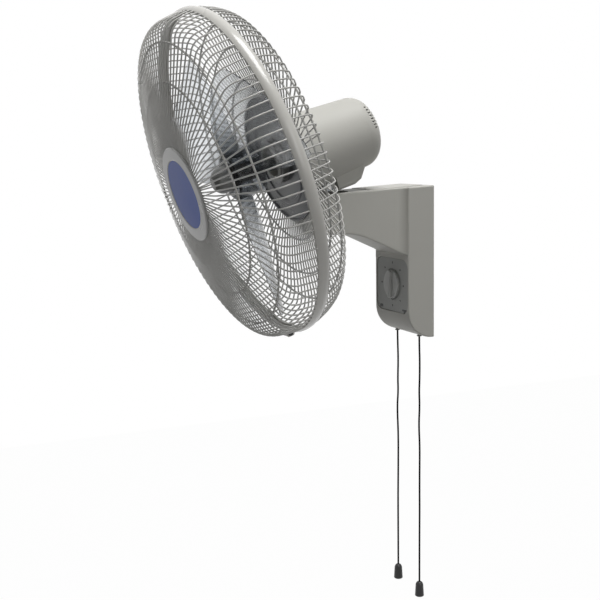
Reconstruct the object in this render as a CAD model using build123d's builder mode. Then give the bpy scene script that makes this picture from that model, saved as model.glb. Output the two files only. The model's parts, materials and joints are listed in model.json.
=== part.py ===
from build123d import *
import os
from math import acos, atan2, cos, pi, radians, sin, sqrt, tan

os.makedirs("parts", exist_ok=True)

# A wall mounted fan, in millimetres. The wall is the plane y = 0 and the fan blows along -Y.
# +Z is up. The origin is the centre of the wall plate's screw pattern, on the wall.

# ---------------------------------------------------------------- driving dimensions

# clearances
running_gap = 0.05  # a shaft in its bearing
seat_gap = 0.05  # pieces of one body that sit in each other
moving_gap = 0.4  # pieces that move past each other

# wall body and arm
body_w = 96.0
body_depth = 40.0
body_bottom_z = -107.0
body_top_z = 104.0
body_foot_r = 37.0  # the big round at the lower front
top_slope = 2.9  # degrees that the top falls towards the front
shell_wall = 2.4
shell_edge_r = 2.0
arm_w = 74.0  # beside the wall body
arm_tip_w = 64.0  # across the round end
arm_root = 5.0  # the arm reaches this far into the wall body
arm_blend = 15.0  # length of the hollow blend from the body's side into the arm's
blend_bow = 0.28  # how hollow the blend is
arm_facet = 90.0  # where the arm starts to narrow, from the wall
arm_bend = 3.0  # the bend there takes this length on each side
arm_root_z = 9.0  # underside of the arm where it leaves the front panel
arm_rise_end = 92.0  # the straight rise of the underside ends here
arm_rise = 24.5  # degrees
arm_under_r = 96.0  # round that levels the underside
arm_tip_drop = 6.0  # the top falls by this much over the round end

# yaw pivot on the arm's end
pivot_y = -141.0
seat_z = 90.0
seat_r = 30.4
seat_floor = 2.6
boss_r = 13.5
boss_bottom_z = 61.0
bush_r = 11.0
spigot_r = 9.0
collar_h = 3.6
collar_r = 29.8

# swing drive in the arm
gear_teeth = 48
pinion_teeth = 12
gear_module = 1.0
gear_h = 5.0
gear_z = 54.0
gear_backlash = 0.16  # taken off each tooth flank
tooth_top = 0.75
tooth_root = 1.1
pressure_angle = 20.0
swing_motor_r = 20.5
swing_motor_h = 20.0
swing_motor_z = 62.0
swing_motor_offset = 9.0  # its shaft stands off its middle

# tilt joint under the motor
tilt_y = -142.0
tilt_z = 107.0
lug_w = 16.0
lug_r = 8.0
tilt_washer_h = 1.0
ear_t = 3.0
tilt_bolt_r = 3.0

# head
head_tilt = 17.8  # degrees that the fan looks down at rest
ring_y = -270.0
ring_z = 124.0
ring_r = 222.0
ring_w = 15.0
ring_wall = 3.6
ring_bulge = 2.8  # the band's outside is rounded by this much
ring_rim = 6.0  # radial depth of the band's two rims

# guards
wire_r = 1.0
wire_root = 4.0  # straight end of a wire, square to what it meets
hoop_r = 1.3
front_wires = 112
rear_wires = 110
guard_rim_r = ring_r - 3.8  # the radial wires meet the band here
badge_r = 63.0
badge_s = 77.6
badge_inlay_r = 46.0
badge_inlay_t = 1.6
badge_web_t = 1.7
front_root_r = 50.0
front_root_s = 74.7
front_knee_r = ring_r - 118.0  # each front wire bends a little here
front_knee_s = 71.7
front_corner_r = ring_r - 9.1  # and turns here towards the band
front_corner_s = 42.8
front_bend_r = 20.0
front_mid_r = front_knee_r + 8.0  # each wire is built in three lengths that meet here
front_split_r = front_corner_r - 22.9  # and here
front_hoops = (52.5, ring_r - 78.5, ring_r - 31.0)
rear_corner_r = ring_r - 15.5
rear_corner_s = -38.0
rear_side_r = ring_r - 9.0  # the rear wires' sides slope in a little from the band
rear_side_s = -26.0
rear_bend_r = 14.0
rear_hoops = (112.0, ring_r - 65.0, ring_r - 31.0)
rear_plate_r = 86.0
rear_plate_s = -61.0
rear_plate_t = 3.0
rear_plate_bore = 24.0
rear_knee_r = ring_r - 82.0
rear_knee_s = -52.0
rear_split_r = ring_r - 42.0
rear_split_s = -46.5
rear_shoulder_r = ring_r - 30.0
rear_shoulder_s = -44.3

# blades
blade_count = 3
blade_tip_r = ring_r - 30.0
blade_turn = 57.0  # at rest the blades are turned this far, so one leans towards +X
blade_t = 2.0
hub_r = 32.0
hub_front_s = 12.0
hub_back_s = -27.0
hub_wall = 2.4
spinner_r = 18.0
spinner_tip_s = 36.0

# motor
shaft_r = 4.0
shaft_back_s = -192.0
shaft_front_s = 24.0
housing_front_r = 53.0
housing_back_r = 48.6
cover_s = -64.0
cover_r = 60.0
housing_end_s = -202.5
housing_corner = 23.0  # radius of its rear edge
housing_seam_s = -96.0
housing_drop = 2.5  # the housing's middle is this far under the fan axis
housing_wall = 2.4
block_w = 54.0  # the box under the housing
block_bottom = 64.5  # below the fan axis
block_front_s = -122.5
block_back_s = -171.0
stator_r = 40.0
stator_bore = 22.4
stator_back_s = -160.0
stator_front_s = -118.0
winding_t = 12.0
rotor_r = 22.0
bearing_r = 11.0
bearing_l = 10.0
front_bearing_s = -84.0
rear_bearing_s = -186.0

# wall plate
plate_w = 72.0
plate_h = 150.0
plate_t = 2.0
screw_x = 50.0
screw_z = 110.0
screw_hole_r = 2.75

# control panel and dial
panel_w = 90.0
panel_top_z = 2.0
panel_bottom_z = -74.0
panel_t = 2.6
panel_sink = 1.2
panel_corner = 14.0
dial_z = -35.0
dial_r = 20.3
dial_well_r = 22.2
dial_well = 2.0
dial_disc_t = 5.0
dial_grip_h = 3.5
dial_grip_w = 7.0
dial_shaft_r = 3.0
timer_w = 36.0
timer_t = 16.0

# pull cords
cord_r = 1.3
cord_x = 31.0
cord_y = -13.5
eyelet_r = 3.6
eyelet_bore = 1.9
eyelet_flange = 0.9
pull_travel = 12.0
pull_r = 6.5
pull_h = 22.0
pull_shoulder_r = 5.6  # radius where the domed top ends
pull_shoulder = 5.5  # height of the domed top
pull_rim = 1.0
switch_w = 26.0
switch_d = 14.0
switch_h = 30.0
switch_bottom_z = -84.0
slider_r = 3.0

# ---------------------------------------------------------------- frames of reference


def lean(degree):
    """Unit vectors along and across the fan axis for a head that looks down by this angle."""
    t = radians(degree)
    return Vector(0, -cos(t), -sin(t)), Vector(0, -sin(t), cos(t))


fan_dir, fan_up = lean(head_tilt)
fan_centre = Vector(0, ring_y, ring_z)
fan_axis = Axis(fan_centre, fan_dir)
# s runs forwards along the fan axis from the middle of the guard ring
across = Plane(origin=fan_centre, x_dir=(1, 0, 0), z_dir=fan_dir)
along = Plane(origin=fan_centre, x_dir=fan_up, z_dir=(1, 0, 0))
side = Plane(origin=(0, 0, 0), x_dir=(0, -1, 0), z_dir=(-1, 0, 0))
front = Plane(origin=(0, 0, 0), x_dir=(1, 0, 0), z_dir=(0, -1, 0))


def head_place(y, z):
    """The height over the fan axis and the s of a point in the plane x = 0."""
    d = Vector(0, y - ring_y, z - ring_z)
    return d.dot(fan_up), d.dot(fan_dir)


def save(piece, label):
    piece.part.label = label
    export_step(piece.part, f"parts/{label}.step")


def save_group(solids, label):
    group = Compound(label=label, children=solids)
    export_step(group, f"parts/{label}.step")


tilt_up, tilt_s = head_place(tilt_y, tilt_z)
pivot_d = -pivot_y


def top_z(d):
    """Height of the sloping top at a distance from the wall."""
    return body_top_z - d * tan(radians(top_slope))


# ---------------------------------------------------------------- wall body and arm


def side_outline(inset):
    """Side view of wall body and arm, all round smaller by inset except at the wall."""
    rise = radians(arm_rise)
    foot_r = body_foot_r - inset
    foot_x = body_depth - body_foot_r
    front_x = body_depth - inset
    low = body_bottom_z + inset
    run = arm_rise_end - body_depth
    rise_x = arm_rise_end + inset * sin(rise)
    rise_z = arm_root_z + run * tan(rise) + inset * cos(rise)
    root = rise_z - (rise_x - front_x) * tan(rise)
    under_r = arm_under_r - inset
    level_x = rise_x + under_r * sin(rise)
    level_z = rise_z + under_r * (1 - cos(rise))
    mid = rise / 2
    mid_x = level_x - under_r * sin(mid)
    mid_z = level_z - under_r * (1 - cos(mid))
    tip_x = pivot_d + arm_tip_w / 2 + 2
    knee_z = top_z(pivot_d) - inset
    half = radians(45)
    with BuildLine() as outline:
        Line((0, low), (foot_x, low))
        ThreePointArc(
            (foot_x, low),
            (foot_x + foot_r * sin(half), low + foot_r * (1 - cos(half))),
            (front_x, low + foot_r),
        )
        Line((front_x, low + foot_r), (front_x, root))
        Line((front_x, root), (rise_x, rise_z))
        ThreePointArc((rise_x, rise_z), (mid_x, mid_z), (level_x, level_z))
        Line((level_x, level_z), (tip_x, level_z))
        Line((tip_x, level_z), (tip_x, knee_z - arm_tip_drop))
        Line((tip_x, knee_z - arm_tip_drop), (pivot_d, knee_z))
        Line((pivot_d, knee_z), (0, body_top_z - inset))
        Line((0, body_top_z - inset), (0, low))
    return outline.line


def arm_outline(inset):
    """Plan of the arm with its hollow blends, from inside the wall body to the round end."""
    arm_x = arm_w / 2 - inset
    tip_r = arm_tip_w / 2 - inset
    root_x = body_w / 2 - inset - shell_edge_r / 2
    root_y = -body_depth + inset
    bow_x = arm_x + (root_x - arm_x) * blend_bow
    bow_y = root_y - arm_blend * blend_bow
    # the run to the round end touches its circle
    reach = Vector(arm_x, -arm_facet - pivot_y)
    lean_in = atan2(reach.Y, reach.X) - acos(tip_r / reach.length)
    touch = (tip_r * cos(lean_in), pivot_y + tip_r * sin(lean_in))
    toward = (Vector(*touch) - Vector(arm_x, -arm_facet)).normalized()
    bend_start = (arm_x, -arm_facet + arm_bend)
    bend_end = (arm_x + toward.X * arm_bend, -arm_facet + toward.Y * arm_bend)
    tip_mid = (tip_r * cos(pi / 4), pivot_y - tip_r * sin(pi / 4))
    with BuildLine() as outline:
        Line((0, root_y + arm_root), (root_x, root_y + arm_root))
        Line((root_x, root_y + arm_root), (root_x, root_y))
        ThreePointArc((root_x, root_y), (bow_x, bow_y), (arm_x, -body_depth - arm_blend))
        Line((arm_x, -body_depth - arm_blend), bend_start)
        TangentArc(bend_start, bend_end, tangent=(0, -1))
        Line(bend_end, touch)
        ThreePointArc(touch, tip_mid, (0, pivot_y - tip_r))
        mirror(outline.line, Plane.YZ)
    return outline.line


tall = body_top_z - body_bottom_z + 20


def outer_form(inset, edge_r):
    """Wall body and arm as one solid, all round smaller by inset, with its outer edges rounded."""
    side_x = body_w / 2 - inset
    with BuildPart(mode=Mode.PRIVATE) as box:
        with BuildSketch(side):
            add(side_outline(inset))
            make_face()
        extrude(amount=side_x, both=True)
        with BuildSketch(Plane.XY.offset(body_bottom_z - 5)):
            with Locations((0, (1 - body_depth + inset) / 2)):
                Rectangle(body_w, 1 + body_depth - inset)
        extrude(amount=tall, mode=Mode.INTERSECT)
        if edge_r:
            fillet([e for e in box.edges() if (e @ 0.5).Y < -1 and abs((e @ 0.5).X) > side_x - 1], edge_r)
    with BuildPart(mode=Mode.PRIVATE) as arm:
        with BuildSketch(side):
            add(side_outline(inset))
            make_face()
        extrude(amount=side_x, both=True)
        with BuildSketch(Plane.XY):
            add(arm_outline(inset))
            make_face()
        extrude(amount=tall, mode=Mode.INTERSECT)
        if edge_r:
            outside = [e for e in arm.edges() if (e @ 0.5).Y < -body_depth - 0.2]
            sides = [e for e in outside if abs((e @ 0.5).X) > 1 or (e @ 0.5).Y < pivot_y - edge_r]
            level = [e for e in sides if abs((e @ 0).Z - (e @ 1).Z) < 0.7 * ((e @ 0) - (e @ 1)).length]
            fillet(level, edge_r)
    with BuildPart(mode=Mode.PRIVATE) as whole:
        add(box.part)
        add(arm.part)
    return whole.part


panel_mid_z = (panel_top_z + panel_bottom_z) / 2
panel_h = panel_top_z - panel_bottom_z
panel_back_d = body_depth - panel_sink - panel_t
panel_rim = 2.0
panel_ledge = 4.0
lid_back = 6.0
lid_front = 88.0
lid_w = 62.0
lid_t = 2.2
lid_raise = 1.0
lid_lip = 3.0
lid_screw_d = 80.0
lid_boss_r = 5.5
lid_boss_h = 10.0
lid_plane = Plane(
    origin=(0, 0, body_top_z),
    x_dir=(1, 0, 0),
    z_dir=(0, -sin(radians(top_slope)), cos(radians(top_slope))),
)
lid_mid = -(lid_back + lid_front) / 2
lid_l = lid_front - lid_back
grommet_y = -16.0
grommet_z = -15.0
grommet_r = 6.0
chassis_y = -5.0
chassis_t = 1.5
chassis_w = 88.0
chassis_h = 168.0
chassis_face = chassis_y - chassis_t
boss_w = 9.0
boss_d = 13.5
chassis_screw_x = 41.0
chassis_screw_z = (-44.0, 70.0)
small_screw_r = 1.5
lock_y = -8.0
lock_boss_r = 6.0
lock_boss_top = -99.0
lock_seat_z = -103.5
lock_head_r = 4.2
lock_screw_r = 2.0
swing_post_x = 25.0
swing_post_r = 4.0
swing_y = pivot_y + gear_module * (gear_teeth + pinion_teeth) / 2
swing_top_z = swing_motor_z + swing_motor_h
cord_places = ((-cord_x, cord_y), (cord_x, cord_y))
eyelet_hole_r = eyelet_r - eyelet_flange

with BuildPart() as body_shell:
    add(outer_form(0, shell_edge_r))
    add(outer_form(shell_wall, 0), mode=Mode.SUBTRACT)
    # the round seat of the neck, its floor and the bored boss under it
    with BuildSketch(Plane.XY.offset(seat_z)):
        with Locations((0, pivot_y)):
            Circle(seat_r)
    extrude(amount=30, mode=Mode.SUBTRACT)
    with BuildSketch(Plane.XY.offset(seat_z - seat_floor)):
        with Locations((0, pivot_y)):
            Circle(arm_tip_w / 2 - shell_wall / 2)
    extrude(amount=seat_floor)
    with BuildSketch(Plane.XY.offset(boss_bottom_z)):
        with Locations((0, pivot_y)):
            Circle(boss_r)
    extrude(amount=seat_z - boss_bottom_z)
    with BuildSketch(Plane.XY.offset(boss_bottom_z - 1)):
        with Locations((0, pivot_y)):
            Circle(bush_r)
    extrude(amount=seat_z - boss_bottom_z + 2, mode=Mode.SUBTRACT)
    # a rim behind the front panel, its pocket and the opening inside the rim
    with BuildSketch(front.offset(panel_back_d - panel_rim)):
        with Locations((0, panel_mid_z)):
            RectangleRounded(panel_w + 3.6, panel_h + 3.6, panel_corner + 1.8)
    extrude(amount=body_depth - shell_wall - panel_back_d + panel_rim + 0.4)
    with BuildSketch(front.offset(panel_back_d)):
        with Locations((0, panel_mid_z)):
            RectangleRounded(panel_w, panel_h, panel_corner)
    extrude(amount=20, mode=Mode.SUBTRACT)
    with BuildSketch(front.offset(panel_back_d - panel_rim - 1)):
        with Locations((0, panel_mid_z)):
            RectangleRounded(
                panel_w - 2 * panel_ledge, panel_h - 2 * panel_ledge, panel_corner - panel_ledge
            )
    extrude(amount=20, mode=Mode.SUBTRACT)
    # opening and step for the lid, and the boss of its screw
    with BuildSketch(lid_plane.offset(lid_raise - lid_t)):
        with Locations((0, lid_mid)):
            RectangleRounded(lid_w, lid_l, 4)
    extrude(amount=10, mode=Mode.SUBTRACT)
    with BuildSketch(lid_plane.offset(-15)):
        with Locations((0, lid_mid)):
            RectangleRounded(lid_w - 2 * lid_lip, lid_l - 2 * lid_lip, 3)
    extrude(amount=20, mode=Mode.SUBTRACT)
    with BuildSketch(lid_plane.offset(lid_raise - lid_t - lid_boss_h)):
        with Locations((0, -lid_screw_d)):
            Circle(lid_boss_r)
            with Locations((0, -lid_boss_r / 2)):
                Rectangle(2 * lid_boss_r, lid_boss_r)
    extrude(amount=lid_boss_h)
    with BuildSketch(lid_plane.offset(lid_raise - lid_t - lid_boss_h + 1)):
        with Locations((0, -lid_screw_d)):
            Circle(small_screw_r)
    extrude(amount=lid_boss_h, mode=Mode.SUBTRACT)
    # posts beside the side walls for the inner plate
    for place_z in chassis_screw_z:
        for turn in (-1, 1):
            with BuildSketch(front.offset(-chassis_face)):
                with Locations((turn * (body_w / 2 - 2 - boss_w / 2), place_z)):
                    Rectangle(boss_w, boss_w)
            extrude(amount=boss_d)
            with BuildSketch(front.offset(-chassis_face)):
                with Locations((turn * chassis_screw_x, place_z)):
                    Circle(small_screw_r)
            extrude(amount=boss_d - 2, mode=Mode.SUBTRACT)
    # posts under the arm's roof for the swing motor
    for turn in (-1, 1):
        with BuildSketch(Plane.XY.offset(swing_top_z)):
            with Locations((turn * swing_post_x, swing_y + swing_motor_offset)):
                Circle(swing_post_r)
        extrude(amount=top_z(-swing_y) - shell_wall - swing_top_z + 0.8)
        with BuildSketch(Plane.XY.offset(swing_top_z)):
            with Locations((turn * swing_post_x, swing_y + swing_motor_offset)):
                Circle(small_screw_r)
        extrude(amount=10, mode=Mode.SUBTRACT)
    # boss, seat and hole of the lock screw in the foot
    with BuildSketch(Plane.XY.offset(body_bottom_z + 2)):
        with Locations((0, lock_y)):
            Circle(lock_boss_r)
    extrude(amount=lock_boss_top - body_bottom_z - 2)
    with BuildSketch(Plane.XY.offset(body_bottom_z - 1)):
        with Locations((0, lock_y)):
            Circle(lock_head_r)
    extrude(amount=lock_seat_z - body_bottom_z + 1, mode=Mode.SUBTRACT)
    with BuildSketch(Plane.XY.offset(body_bottom_z)):
        with Locations((0, lock_y)):
            Circle(lock_screw_r + moving_gap)
    extrude(amount=20, mode=Mode.SUBTRACT)
    # holes for the two cords in the foot, and for the supply cord in the left side
    with BuildSketch(Plane.XY.offset(body_bottom_z - 1)):
        with Locations(*cord_places):
            Circle(eyelet_hole_r)
    extrude(amount=12, mode=Mode.SUBTRACT)
    with BuildSketch(Plane.YZ.offset(-body_w / 2 - 1)):
        with Locations((grommet_y, grommet_z)):
            Circle(grommet_r)
    extrude(amount=6, mode=Mode.SUBTRACT)
save(body_shell, "body_shell")

with BuildPart() as pivot_bush:
    bush_flange = 1.1
    with BuildSketch(Plane.XY.offset(boss_bottom_z - bush_flange)):
        with Locations((0, pivot_y)):
            Circle(boss_r - 0.5)
            Circle(spigot_r + running_gap, mode=Mode.SUBTRACT)
    extrude(amount=bush_flange)
    with BuildSketch(Plane.XY.offset(boss_bottom_z)):
        with Locations((0, pivot_y)):
            Circle(bush_r)
            Circle(spigot_r + running_gap, mode=Mode.SUBTRACT)
    extrude(amount=seat_z - boss_bottom_z)
save(pivot_bush, "pivot_bush")

with BuildPart() as arm_lid:
    with BuildSketch(lid_plane.offset(lid_raise - lid_t)):
        with Locations((0, lid_mid)):
            RectangleRounded(lid_w - 2 * seat_gap, lid_l - 2 * seat_gap, 4)
    extrude(amount=lid_t)
    fillet(arm_lid.faces().sort_by(Axis.Z)[-1].outer_wire().edges(), 0.8)
    # locating lip inside the opening
    with BuildSketch(lid_plane.offset(lid_raise - lid_t - 2)):
        with Locations((0, lid_mid)):
            RectangleRounded(lid_w - 2 * lid_lip - 0.4, lid_l - 2 * lid_lip - 0.4, 3)
            RectangleRounded(lid_w - 2 * lid_lip - 3.4, lid_l - 2 * lid_lip - 3.4, 2, mode=Mode.SUBTRACT)
        with Locations((0, -lid_screw_d - lid_boss_r / 2)):
            Rectangle(2 * lid_boss_r + 1, 2 * lid_boss_r + 8, mode=Mode.SUBTRACT)
    extrude(amount=2)
    with BuildSketch(lid_plane.offset(lid_raise - 1.2)):
        with Locations((0, -lid_screw_d)):
            Circle(3.0)
    extrude(amount=5, mode=Mode.SUBTRACT)
    with BuildSketch(lid_plane.offset(-5)):
        with Locations((0, -lid_screw_d)):
            Circle(small_screw_r + 0.2)
    extrude(amount=10, mode=Mode.SUBTRACT)
save(arm_lid, "arm_lid")


def screw(plane, places, head_r, head_h, shaft_r_, shaft_l, cross=0.8):
    """Pan head screws whose heads stand on a plane and whose shafts go down through it."""
    with BuildPart(mode=Mode.PRIVATE) as body:
        with BuildSketch(plane):
            with Locations(*places):
                Circle(head_r)
        extrude(amount=head_h)
        fillet(
            [e for e in body.edges() if abs(plane.to_local_coords(e.center()).Z - head_h) < 0.01],
            head_h * 0.35,
        )
        with BuildSketch(plane.offset(head_h - cross)):
            with Locations(*places):
                Rectangle(head_r * 1.1, head_r * 0.24)
                Rectangle(head_r * 0.24, head_r * 1.1)
        extrude(amount=cross + 1, mode=Mode.SUBTRACT)
        with BuildSketch(plane.offset(-shaft_l)):
            with Locations(*places):
                Circle(shaft_r_)
        extrude(amount=shaft_l)
    return body.part


with BuildPart() as lid_screw:
    add(screw(lid_plane.offset(lid_raise - 1.2), [(0, -lid_screw_d)], 2.9, 1.8, small_screw_r, 8))
save(lid_screw, "lid_screw")

# ---------------------------------------------------------------- wall plate and inner plate

hook_x = 22.0
hook_w = 12.0
hook_z = 58.0
hook_h = 8.0
hook_reach = 9.0
tongue_w = 16.0
tongue_t = 1.5
tongue_z = -98.5
with BuildPart() as wall_plate:
    with BuildSketch(front):
        RectangleRounded(plate_w, plate_h, 6)
        with GridLocations(screw_x, screw_z, 2, 2):
            Circle(screw_hole_r, mode=Mode.SUBTRACT)
        Circle(9, mode=Mode.SUBTRACT)
        with Locations((0, (tongue_z - plate_h / 2 + 6) / 2)):
            Rectangle(tongue_w, -tongue_z - plate_h / 2 + 6)
    extrude(amount=plate_t)
    for turn in (-1, 1):
        with BuildSketch(front.offset(plate_t)):
            with Locations((turn * hook_x, hook_z + 1)):
                Rectangle(hook_w, 2)
        extrude(amount=hook_reach - plate_t)
        with BuildSketch(front.offset(hook_reach - tongue_t)):
            with Locations((turn * hook_x, hook_z + hook_h / 2)):
                Rectangle(hook_w, hook_h)
        extrude(amount=tongue_t)
    with BuildSketch(Plane.XY.offset(tongue_z)):
        with Locations((0, -7.5)):
            Rectangle(tongue_w, 11 + plate_t)
        with Locations((0, lock_y)):
            Circle(lock_screw_r, mode=Mode.SUBTRACT)
    extrude(amount=tongue_t)
save(wall_plate, "wall_plate")

with BuildPart() as chassis:
    with BuildSketch(front.offset(-chassis_y)):
        RectangleRounded(chassis_w, chassis_h, 4)
        for turn in (-1, 1):
            with Locations((turn * hook_x, hook_z + 2 - 5)):
                Rectangle(hook_w + 1, 10, mode=Mode.SUBTRACT)
            for place_z in chassis_screw_z:
                with Locations((turn * chassis_screw_x, place_z)):
                    Circle(small_screw_r + 0.15, mode=Mode.SUBTRACT)
        Circle(12, mode=Mode.SUBTRACT)
        with Locations((grommet_y - 18, grommet_z)):
            Circle(5, mode=Mode.SUBTRACT)
    extrude(amount=chassis_t)
save(chassis, "chassis")

with BuildPart() as chassis_screws:
    chassis_places = [(-turn * chassis_screw_x, z) for turn in (-1, 1) for z in chassis_screw_z]
    back = Plane(origin=(0, chassis_y, 0), x_dir=(-1, 0, 0), z_dir=(0, 1, 0))
    add(screw(back, chassis_places, 3.0, 1.8, small_screw_r, 11))
save(chassis_screws, "chassis_screws")

with BuildPart() as lock_screw:
    under = Plane(origin=(0, 0, lock_seat_z), x_dir=(1, 0, 0), z_dir=(0, 0, -1))
    add(screw(under, [(0, -lock_y)], lock_head_r - 0.2, 2.4, lock_screw_r, tongue_t + 6.5))
save(lock_screw, "lock_screw")

# ---------------------------------------------------------------- swing drive


def tooth_outline(teeth, turn):
    """Points round a spur wheel with involute flanks, the first tooth at the angle turn."""
    pitch = gear_module * teeth / 2
    base = pitch * cos(radians(pressure_angle))
    outer = pitch + tooth_top
    root = pitch - tooth_root

    def roll(r):
        return sqrt((r / base) ** 2 - 1) - acos(base / r)

    half = (pi * gear_module / 4 - gear_backlash) / pitch + roll(pitch)
    radii = [max(base, root) + (outer - max(base, root)) * k / 4 for k in range(5)]
    points = []
    for tooth in range(teeth):
        middle = radians(turn) + 2 * pi * tooth / teeth
        flank = [(r, half - roll(r)) for r in radii]
        if root < base:
            flank.insert(0, (root, half))
        for r, a in flank:
            points.append((r * cos(middle - a), r * sin(middle - a)))
        for r, a in reversed(flank):
            points.append((r * cos(middle + a), r * sin(middle + a)))
    return points


flat_x = 8.0
with BuildPart() as swing_gear:
    with BuildSketch(Plane.XY.offset(gear_z)) as gear_face:
        with Locations((0, pivot_y)):
            Polygon(*tooth_outline(gear_teeth, 90), align=None)
            with Locations((0, 0)):
                RectangleRounded(2 * flat_x, 2 * spigot_r, 4, mode=Mode.SUBTRACT)
            with PolarLocations(16.5, 6):
                Circle(4, mode=Mode.SUBTRACT)
    extrude(amount=gear_h)
save(swing_gear, "swing_gear")

pinion_shaft_r = 2.5
with BuildPart() as swing_pinion:
    with BuildSketch(Plane.XY.offset(gear_z - 0.5)):
        with Locations((0, swing_y)):
            Polygon(*tooth_outline(pinion_teeth, 90 + 180 / pinion_teeth), align=None)
    extrude(amount=gear_h + 1)
    with BuildSketch(Plane.XY.offset(gear_z)):
        with Locations((0, swing_y)):
            Circle(pinion_shaft_r)
    extrude(amount=swing_motor_z - gear_z + 8)
save(swing_pinion, "swing_pinion")

motor_mid_y = swing_y + swing_motor_offset
with BuildPart() as swing_motor:
    with BuildSketch(Plane.XY.offset(swing_motor_z)):
        with Locations((0, motor_mid_y)):
            Circle(swing_motor_r)
    extrude(amount=swing_motor_h)
    fillet(swing_motor.edges().filter_by(GeomType.CIRCLE), 1.2)
    with BuildSketch(Plane.XY.offset(swing_top_z - 1.6)):
        with Locations((0, motor_mid_y)):
            SlotOverall(2 * swing_post_x + 8, 8)
        with Locations((-swing_post_x, motor_mid_y), (swing_post_x, motor_mid_y)):
            Circle(small_screw_r + 0.15, mode=Mode.SUBTRACT)
    extrude(amount=1.6)
    with BuildSketch(Plane.XY.offset(swing_motor_z - 1.2)):
        with Locations((0, swing_y)):
            Circle(5)
    extrude(amount=1.2)
    with BuildSketch(Plane.XY.offset(swing_motor_z - 2)):
        with Locations((0, swing_y)):
            Circle(pinion_shaft_r + running_gap)
    extrude(amount=2 + 10, mode=Mode.SUBTRACT)
save(swing_motor, "swing_motor")

with BuildPart() as swing_motor_screws:
    under_ears = Plane(
        origin=(0, 0, swing_top_z - 1.6), x_dir=(1, 0, 0), z_dir=(0, 0, -1)
    )
    add(
        screw(
            under_ears,
            [(-swing_post_x, -motor_mid_y), (swing_post_x, -motor_mid_y)],
            3.0,
            1.8,
            small_screw_r,
            9,
        )
    )
save(swing_motor_screws, "swing_motor_screws")

# ---------------------------------------------------------------- neck

collar_z = seat_z + moving_gap
groove_r = 8.3
groove_z = gear_z - 1.5
spigot_bottom = groove_z - 1.6
washer_t = 0.6
with BuildPart() as neck:
    with BuildSketch(Plane.XY.offset(collar_z)):
        with Locations((0, pivot_y)):
            Circle(collar_r)
    extrude(amount=collar_h)
    fillet(neck.edges().sort_by(Axis.Z)[-1], 1.2)
    with BuildSketch(Plane.XY.offset(spigot_bottom)):
        with Locations((0, pivot_y)):
            Circle(spigot_r)
    extrude(amount=collar_z - spigot_bottom)
    with BuildSketch(Plane.XY.offset(spigot_bottom - 1)):
        with Locations((flat_x + 5, pivot_y), (-flat_x - 5, pivot_y)):
            Rectangle(10, 30)
    extrude(amount=gear_z + gear_h - spigot_bottom + 1, mode=Mode.SUBTRACT)
    with BuildSketch(Plane.XY.offset(groove_z)):
        with Locations((0, pivot_y)):
            Circle(spigot_r + 1)
            Circle(groove_r, mode=Mode.SUBTRACT)
    extrude(amount=1.4, mode=Mode.SUBTRACT)
    # the column and its round lug
    with BuildSketch(Plane.XY.offset(collar_z)):
        with Locations((0, tilt_y)):
            Rectangle(lug_w, 2 * lug_r)
    extrude(amount=tilt_z - collar_z)
    with BuildSketch(Plane.YZ.offset(-lug_w / 2)):
        with Locations((tilt_y, tilt_z)):
            Circle(lug_r)
    extrude(amount=lug_w)
    with BuildSketch(Plane.XY.offset(collar_z + collar_h)):
        with Locations((0, tilt_y)):
            Rectangle(lug_w + 8, 2 * lug_r + 8)
    extrude(amount=4, taper=45)
    # bores for the tilt bolt and the wires
    with BuildSketch(Plane.YZ.offset(-lug_w / 2 - 1)):
        with Locations((tilt_y, tilt_z)):
            Circle(tilt_bolt_r + running_gap)
    extrude(amount=lug_w + 2, mode=Mode.SUBTRACT)
    with BuildSketch(Plane.XY.offset(spigot_bottom - 1)):
        with Locations((0, pivot_y)):
            Circle(5)
    extrude(amount=96 - spigot_bottom, mode=Mode.SUBTRACT)
save(neck, "neck")

with BuildPart() as neck_washer:
    with BuildSketch(Plane.XY.offset(gear_z + gear_h)):
        with Locations((0, pivot_y)):
            Circle(12.5)
            Circle(spigot_r + seat_gap, mode=Mode.SUBTRACT)
    extrude(amount=washer_t)
save(neck_washer, "neck_washer")

with BuildPart() as neck_clip:
    with BuildSketch(Plane.XY.offset(groove_z + 0.1)):
        with Locations((0, pivot_y)):
            Circle(12)
            Circle(groove_r + seat_gap, mode=Mode.SUBTRACT)
            with Locations((0, -10)):
                Rectangle(5, 8, mode=Mode.SUBTRACT)
    extrude(amount=1.2)
save(neck_clip, "neck_clip")

with BuildPart() as tilt_washers:
    for x in (-lug_w / 2 - tilt_washer_h, lug_w / 2):
        with BuildSketch(Plane.YZ.offset(x)):
            with Locations((tilt_y, tilt_z)):
                Circle(lug_r - 0.5)
                Circle(tilt_bolt_r + running_gap, mode=Mode.SUBTRACT)
        extrude(amount=tilt_washer_h)
save(tilt_washers, "tilt_washers")

# ---------------------------------------------------------------- front panel, dial and timer

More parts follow.
